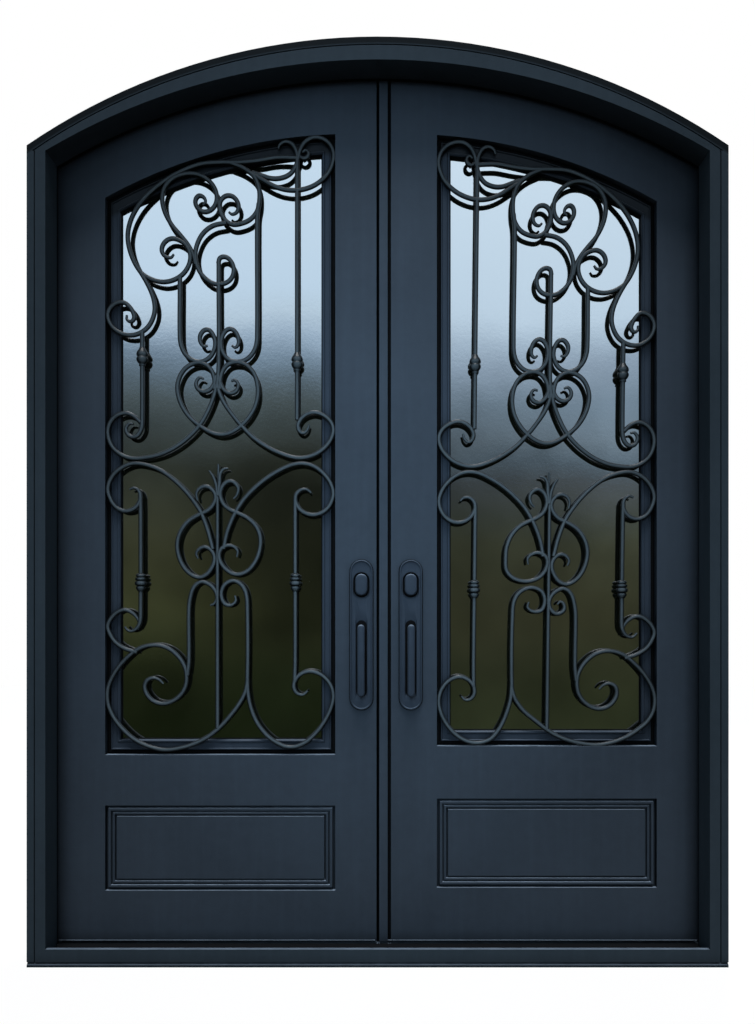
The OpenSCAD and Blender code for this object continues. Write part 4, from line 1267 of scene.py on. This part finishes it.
class DOOR_OT_seal_gaps(Operator):
    """Run a rubber lip between the leaves and a sweep under each, and fill the grooves"""

    bl_idname = "door.seal_gaps"
    bl_label = "Seal gaps"

    def execute(self, context):
        sizes = context.scene.door_sizes
        low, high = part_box("left_lock_stile")
        middle = (low[1] + high[1]) / 2
        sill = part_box("weather_seal")[0][2]
        self.run_lip(middle, sill, sizes.lip_t)
        self.fill_strip(sizes)
        self.fill_sill(sill)
        for side in SIDES:
            self.hang_sweep(side, middle, sill)
        return {"FINISHED"}

    def run_lip(self, y, sill, t):
        """A curved lip on the meeting strip that bears on the left leaf."""
        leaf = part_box("left_lock_stile")[1]
        gap0, gap1 = leaf[0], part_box("astragal")[0][0]
        section = [(gap1 + LIP_ROOT, y - t), (gap1 - 0.002, y - t), (gap0 + 0.0015, y - 0.2 * t),
                   (gap0, y + 0.6 * t), (gap0 + 0.001, y + t), (gap1 - 0.002, y + 0.6 * t),
                   (gap1 + LIP_ROOT, y + t)]
        ends = (sill + CLEAR, leaf[2] - 2 * CLEAR)
        place_rubber(straight_strip("meeting_lip", section, ends, "Z"), "right_leaf")

    def fill_strip(self, sizes):
        """A rubber in the groove beside the meeting strip."""
        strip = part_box("astragal")[0]
        low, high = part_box("right_lock_stile")
        floor = low[1] + sizes.strip_groove_d
        section = crowned(
            strip[0] + sizes.strip_w + LAP, low[0] - LAP, floor + LAP, floor - STRIP_RUBBER
        )
        ends = (strip[2] + CLEAR, high[2] - CLEAR)
        place_rubber(straight_strip("strip_rubber", section, ends, "Z"), "right_leaf")

    def fill_sill(self, sill):
        """A rubber on the sill before the leaves, black, which also paints the shade there."""
        low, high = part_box("weather_seal")
        section = crowned(low[1] - SILL_FRONT, high[1] - SILL_BACK, sill - LAP, sill + SILL_RUBBER)
        ends = (low[0] + SILL_IN, high[0] - SILL_IN)
        place_rubber(straight_strip("sill_rubber", section, ends, "X"), "frame")

    def hang_sweep(self, side, y, sill):
        """A rubber sweep under a leaf, and a painted bead along the leaf's foot."""
        low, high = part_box(side + "_hinge_stile")
        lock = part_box("left_lock_stile" if side == "left" else "astragal")
        ends = (min(low[0], lock[0][0]) + SWEEP_IN, max(high[0], lock[1][0]) - SWEEP_IN)
        top, foot = low[2] + SWEEP_UP, sill + CLEAR
        section = [(y - 0.008, top), (y - 0.008, top - 0.003), (y - 0.003, foot + 0.003),
                   (y - 0.002, foot), (y + 0.001, foot), (y + 0.002, foot + 0.003),
                   (y + 0.008, top - 0.003), (y + 0.008, top)]
        place_rubber(straight_strip(side + "_sweep", section, ends, "X"), side + "_leaf")
        face = low[1]
        section = [(face + LAP, top), (face - 0.0012, top), (face - 0.0012, top + 0.001),
                   (face + LAP, top + 0.0028)]
        bead = straight_strip(side + "_foot_bead", section, ends, "X")
        place_piece(bead, side + "_leaf", "Leaf paint")


# ---- stage ----

CAMERA = (0.015, -2.189, 0.9066)
FILM = 36   # as wide and as high, in millimetres
LENS = 28.36
SHIFT = (-0.0057, 0.107)

# Lamps: kind, place, power, colour, size, and the degrees over which their light opens.
LAMPS = {
    "Top light": ("SUN", (0.0, -1.35, 5.3), 3.0, (0.97, 0.98, 1.0), None, 24),
    "Front light": ("AREA", (-0.25, -2.6, 1.75), 4.6, (0.65, 0.85, 1.0), (0.35, 1.6), 45),
    "Back light": ("AREA", (1.5, 3.5, 3.6), 110.0, (1.0, 1.0, 1.0), (2.5, 2.0), 180),
}
LIT_PLACE = (0.0, 0.0, 1.3)   # where they point

FLOOR_HALF = 9
FLOOR_Z = -0.0005
FLOOR_BOUNCE = 0.3   # how pale the floor is to the light that it throws back
FLOOR_GLOW = 0.85    # the share of plain white in what the eye sees of it
AIR_TONE = (0.93, 0.97, 1.0, 1.0)
AIR_LEVEL = 0.1
MIRRORED_LEVEL = 1.88

# Tones of the surroundings by the height of a direction: over the left and right grounds.
LEFT_TONES = [(-0.1, (18, 24, 10)), (-0.05, (24, 29, 15)), (0.02, (42, 45, 28)),
              (0.1, (38, 40, 28)), (0.19, (37, 41, 36)), (0.217, (48, 55, 55)),
              (0.24, (53, 62, 64)), (0.262, (67, 78, 82)), (0.284, (84, 100, 112)),
              (0.305, (110, 131, 150)), (0.325, (148, 170, 191)), (0.345, (181, 202, 219)),
              (0.37, (188, 211, 231)), (0.5, (197, 219, 237))]
RIGHT_TONES = [(-0.1, (38, 43, 28)), (-0.05, (38, 41, 28)), (0.0, (43, 44, 31)),
               (0.05, (46, 48, 36)), (0.1, (48, 51, 40)), (0.123, (50, 55, 49)),
               (0.171, (57, 63, 67)), (0.194, (72, 86, 97)), (0.217, (95, 110, 122)),
               (0.262, (109, 128, 144)), (0.305, (138, 157, 176)), (0.326, (163, 184, 203)),
               (0.35, (188, 209, 227)), (0.5, (203, 223, 239))]
# Brightness of the grounds by a direction's x: hedges and a pale wall below the skyline.
GROUNDS = [(-0.3, 1.6), (-0.235, 1.1), (-0.13, 0.42), (-0.03, 0.42), (0.05, 0.95),
           (0.2, 0.95), (0.27, 1.7), (0.35, 1.7)]


def tone_ramp(tree, value, stops):
    """A colour ramp over a value; each stop is a place with a tone or a plain level."""
    low, high = stops[0][0], stops[-1][0]
    ramp = node(tree, "ShaderNodeValToRGB", {"Fac": spread(tree, value, low, high)})
    elements = ramp.color_ramp.elements
    while len(elements) < len(stops):
        elements.new(0.5)
    for element, (place, tone) in zip(elements, stops):
        element.position = (place - low) / (high - low)
        element.color = (*(srgb(*tone) if isinstance(tone, tuple) else [tone] * 3), 1.0)
    return ramp.outputs["Color"]


def seen_colours(tree):
    """Surroundings that shiny pieces mirror: pale sky, a soft skyline and dark grounds."""
    place = node(tree, "ShaderNodeTexCoord").outputs["Generated"]
    x, _, z = split(tree, place)
    # the skyline is uneven, and lower at the far left
    uneven = vary(tree, noise(tree, place, 6.0, 4.0), -0.012, 0.012)
    lower = spread(tree, x, -0.2, -0.14, 0.011, 0.0)
    height = plus(tree, plus(tree, z, uneven), lower)
    side = spread(tree, x, -0.08, 0.12)
    left = tone_ramp(tree, height, LEFT_TONES)
    right = tone_ramp(tree, height, RIGHT_TONES)
    both = mix_colours(tree, side, left, right)
    # the grounds differ from side to side, between their foot and the skyline
    rise = spread(tree, plus(tree, z, times(tree, side, -0.07)), -0.05, -0.01)
    fall = spread(tree, z, 0.16, 0.22, 1.0, 0.0)
    ground = mix_colours(tree, times(tree, rise, fall), WHITE, tone_ramp(tree, x, GROUNDS))
    both = mix_colours(tree, 1.0, both, ground, "MULTIPLY")
    # leaves and branches, which the clear sky has none of
    patches = vary(tree, noise(tree, place, 11.0, 4.0, 0.6), 0.65, 1.35)
    level = mix_colours(tree, spread(tree, z, 0.2, 0.36), patches, WHITE)
    return mix_colours(tree, 1.0, both, level, "MULTIPLY")


class DOOR_OT_set_stage(Operator):
    """Set the floor, the lamps, the surroundings and the camera"""

    bl_idname = "door.set_stage"
    bl_label = "Set stage"

    def execute(self, context):
        scene = context.scene
        scene.view_settings.view_transform = "Standard"
        self.lay_floor()
        self.light_world(scene)
        for name, lamp in LAMPS.items():
            self.hang_lamp(name, *lamp)
        data = bpy.data.cameras.new("Camera")
        data.sensor_fit = "VERTICAL"
        data.sensor_height = FILM
        data.sensor_width = FILM
        data.lens = LENS
        data.shift_x, data.shift_y = SHIFT
        camera = link(bpy.data.objects.new("Camera", data))
        camera.location = CAMERA
        camera.rotation_euler = (math.radians(90), 0, 0)
        scene.camera = camera
        return {"FINISHED"}

    def lay_floor(self):
        """A floor that the eye sees almost white and that throws little light back."""
        bm = bmesh.new()
        bmesh.ops.create_grid(bm, x_segments=1, y_segments=1, size=FLOOR_HALF)
        for v in bm.verts:
            v.co.z = FLOOR_Z
        floor = add_mesh("stage_floor", bm, smooth=False)
        made, tree, shader = start_material("Stage floor")
        seen = node(tree, "ShaderNodeLightPath").outputs["Is Camera Ray"]
        pale = spread(tree, seen, 0.0, 1.0, FLOOR_BOUNCE, 1.0)
        feed(tree, shader, {"Base Color": pale, "Roughness": 0.9})
        white = node(tree, "ShaderNodeEmission", {"Color": WHITE})
        glow = times(tree, seen, FLOOR_GLOW)
        surface = mix_shaders(tree, glow, shader.outputs[0], white.outputs[0])
        feed(tree, find(tree, "OUTPUT_MATERIAL"), {"Surface": surface})
        floor.data.materials.append(made)
        floor.visible_glossy = False

    def light_world(self, scene):
        """White to the eye, the surroundings to mirrors, and a little air light to the rest."""
        world = bpy.data.worlds.new("Studio")
        world.use_nodes = True
        scene.world = world
        tree = world.node_tree
        tree.nodes.clear()
        rays = node(tree, "ShaderNodeLightPath").outputs
        air, mirrored, white = (
            node(tree, "ShaderNodeBackground", {"Color": tone, "Strength": level}).outputs[0]
            for tone, level in (
                (AIR_TONE, AIR_LEVEL), (seen_colours(tree), MIRRORED_LEVEL), (WHITE, 1.0)
            )
        )
        # a mirror that is seen after a dull bounce shows the air light
        bounced = maths(tree, "SUBTRACT", 1.0, rays["Diffuse Depth"])
        direct = maths(tree, "MAXIMUM", bounced, 0.0)
        shiny = mix_shaders(tree, times(tree, rays["Is Glossy Ray"], direct), air, mirrored)
        surface = mix_shaders(tree, rays["Is Camera Ray"], shiny, white)
        node(tree, "ShaderNodeOutputWorld", {"Surface": surface})

    def hang_lamp(self, name, kind, place, power, tone, size, opening):
        lamp = bpy.data.lights.new(name, kind)
        lamp.energy = power
        lamp.color = tone
        if kind == "SUN":
            lamp.angle = math.radians(opening)
        else:
            lamp.shape = "RECTANGLE"
            lamp.size, lamp.size_y = size
            lamp.spread = math.radians(opening)
        obj = link(bpy.data.objects.new(name, lamp))
        obj.location = place
        aim = Vector(LIT_PLACE) - Vector(place)
        obj.rotation_euler = aim.to_track_quat("-Z", "Y").to_euler()
        obj.visible_camera = False
        obj.visible_glossy = kind == "SUN"   # the glass shows no lamp's square


# ---- panel and main ----

STEPS = [
    DOOR_OT_set_stage,
    DOOR_OT_weld_frame,
    DOOR_OT_weld_leaves,
    DOOR_OT_glaze,
    DOOR_OT_forge_grilles,
    DOOR_OT_fit_handles,
    DOOR_OT_hang_hinges,
    DOOR_OT_seal_gaps,
]


class DOOR_PT_panel(Panel):
    bl_label = "Iron Door"
    bl_idname = "DOOR_PT_panel"
    bl_space_type = "VIEW_3D"
    bl_region_type = "UI"
    bl_category = "Iron Door"

    def draw(self, context):
        for step in STEPS:
            self.layout.operator(step.bl_idname)
        for group in (context.scene.door_finishes, context.scene.door_sizes):
            for key in group.__annotations__:
                self.layout.prop(group, key)


CLASSES = [DoorFinishes, DoorSizes, *STEPS, DOOR_PT_panel]


def register():
    for cls in CLASSES:
        bpy.utils.register_class(cls)
    bpy.types.Scene.door_finishes = PointerProperty(type=DoorFinishes)
    bpy.types.Scene.door_sizes = PointerProperty(type=DoorSizes)


def unregister():
    del bpy.types.Scene.door_sizes
    del bpy.types.Scene.door_finishes
    for cls in reversed(CLASSES):
        bpy.utils.unregister_class(cls)


def main():
    register()
    for step in STEPS:
        group, name = step.bl_idname.split(".")
        result = getattr(getattr(bpy.ops, group), name)()
        if "FINISHED" not in result:
            raise RuntimeError(step.bl_label + " did not finish")


if __name__ == "__main__":
    main()
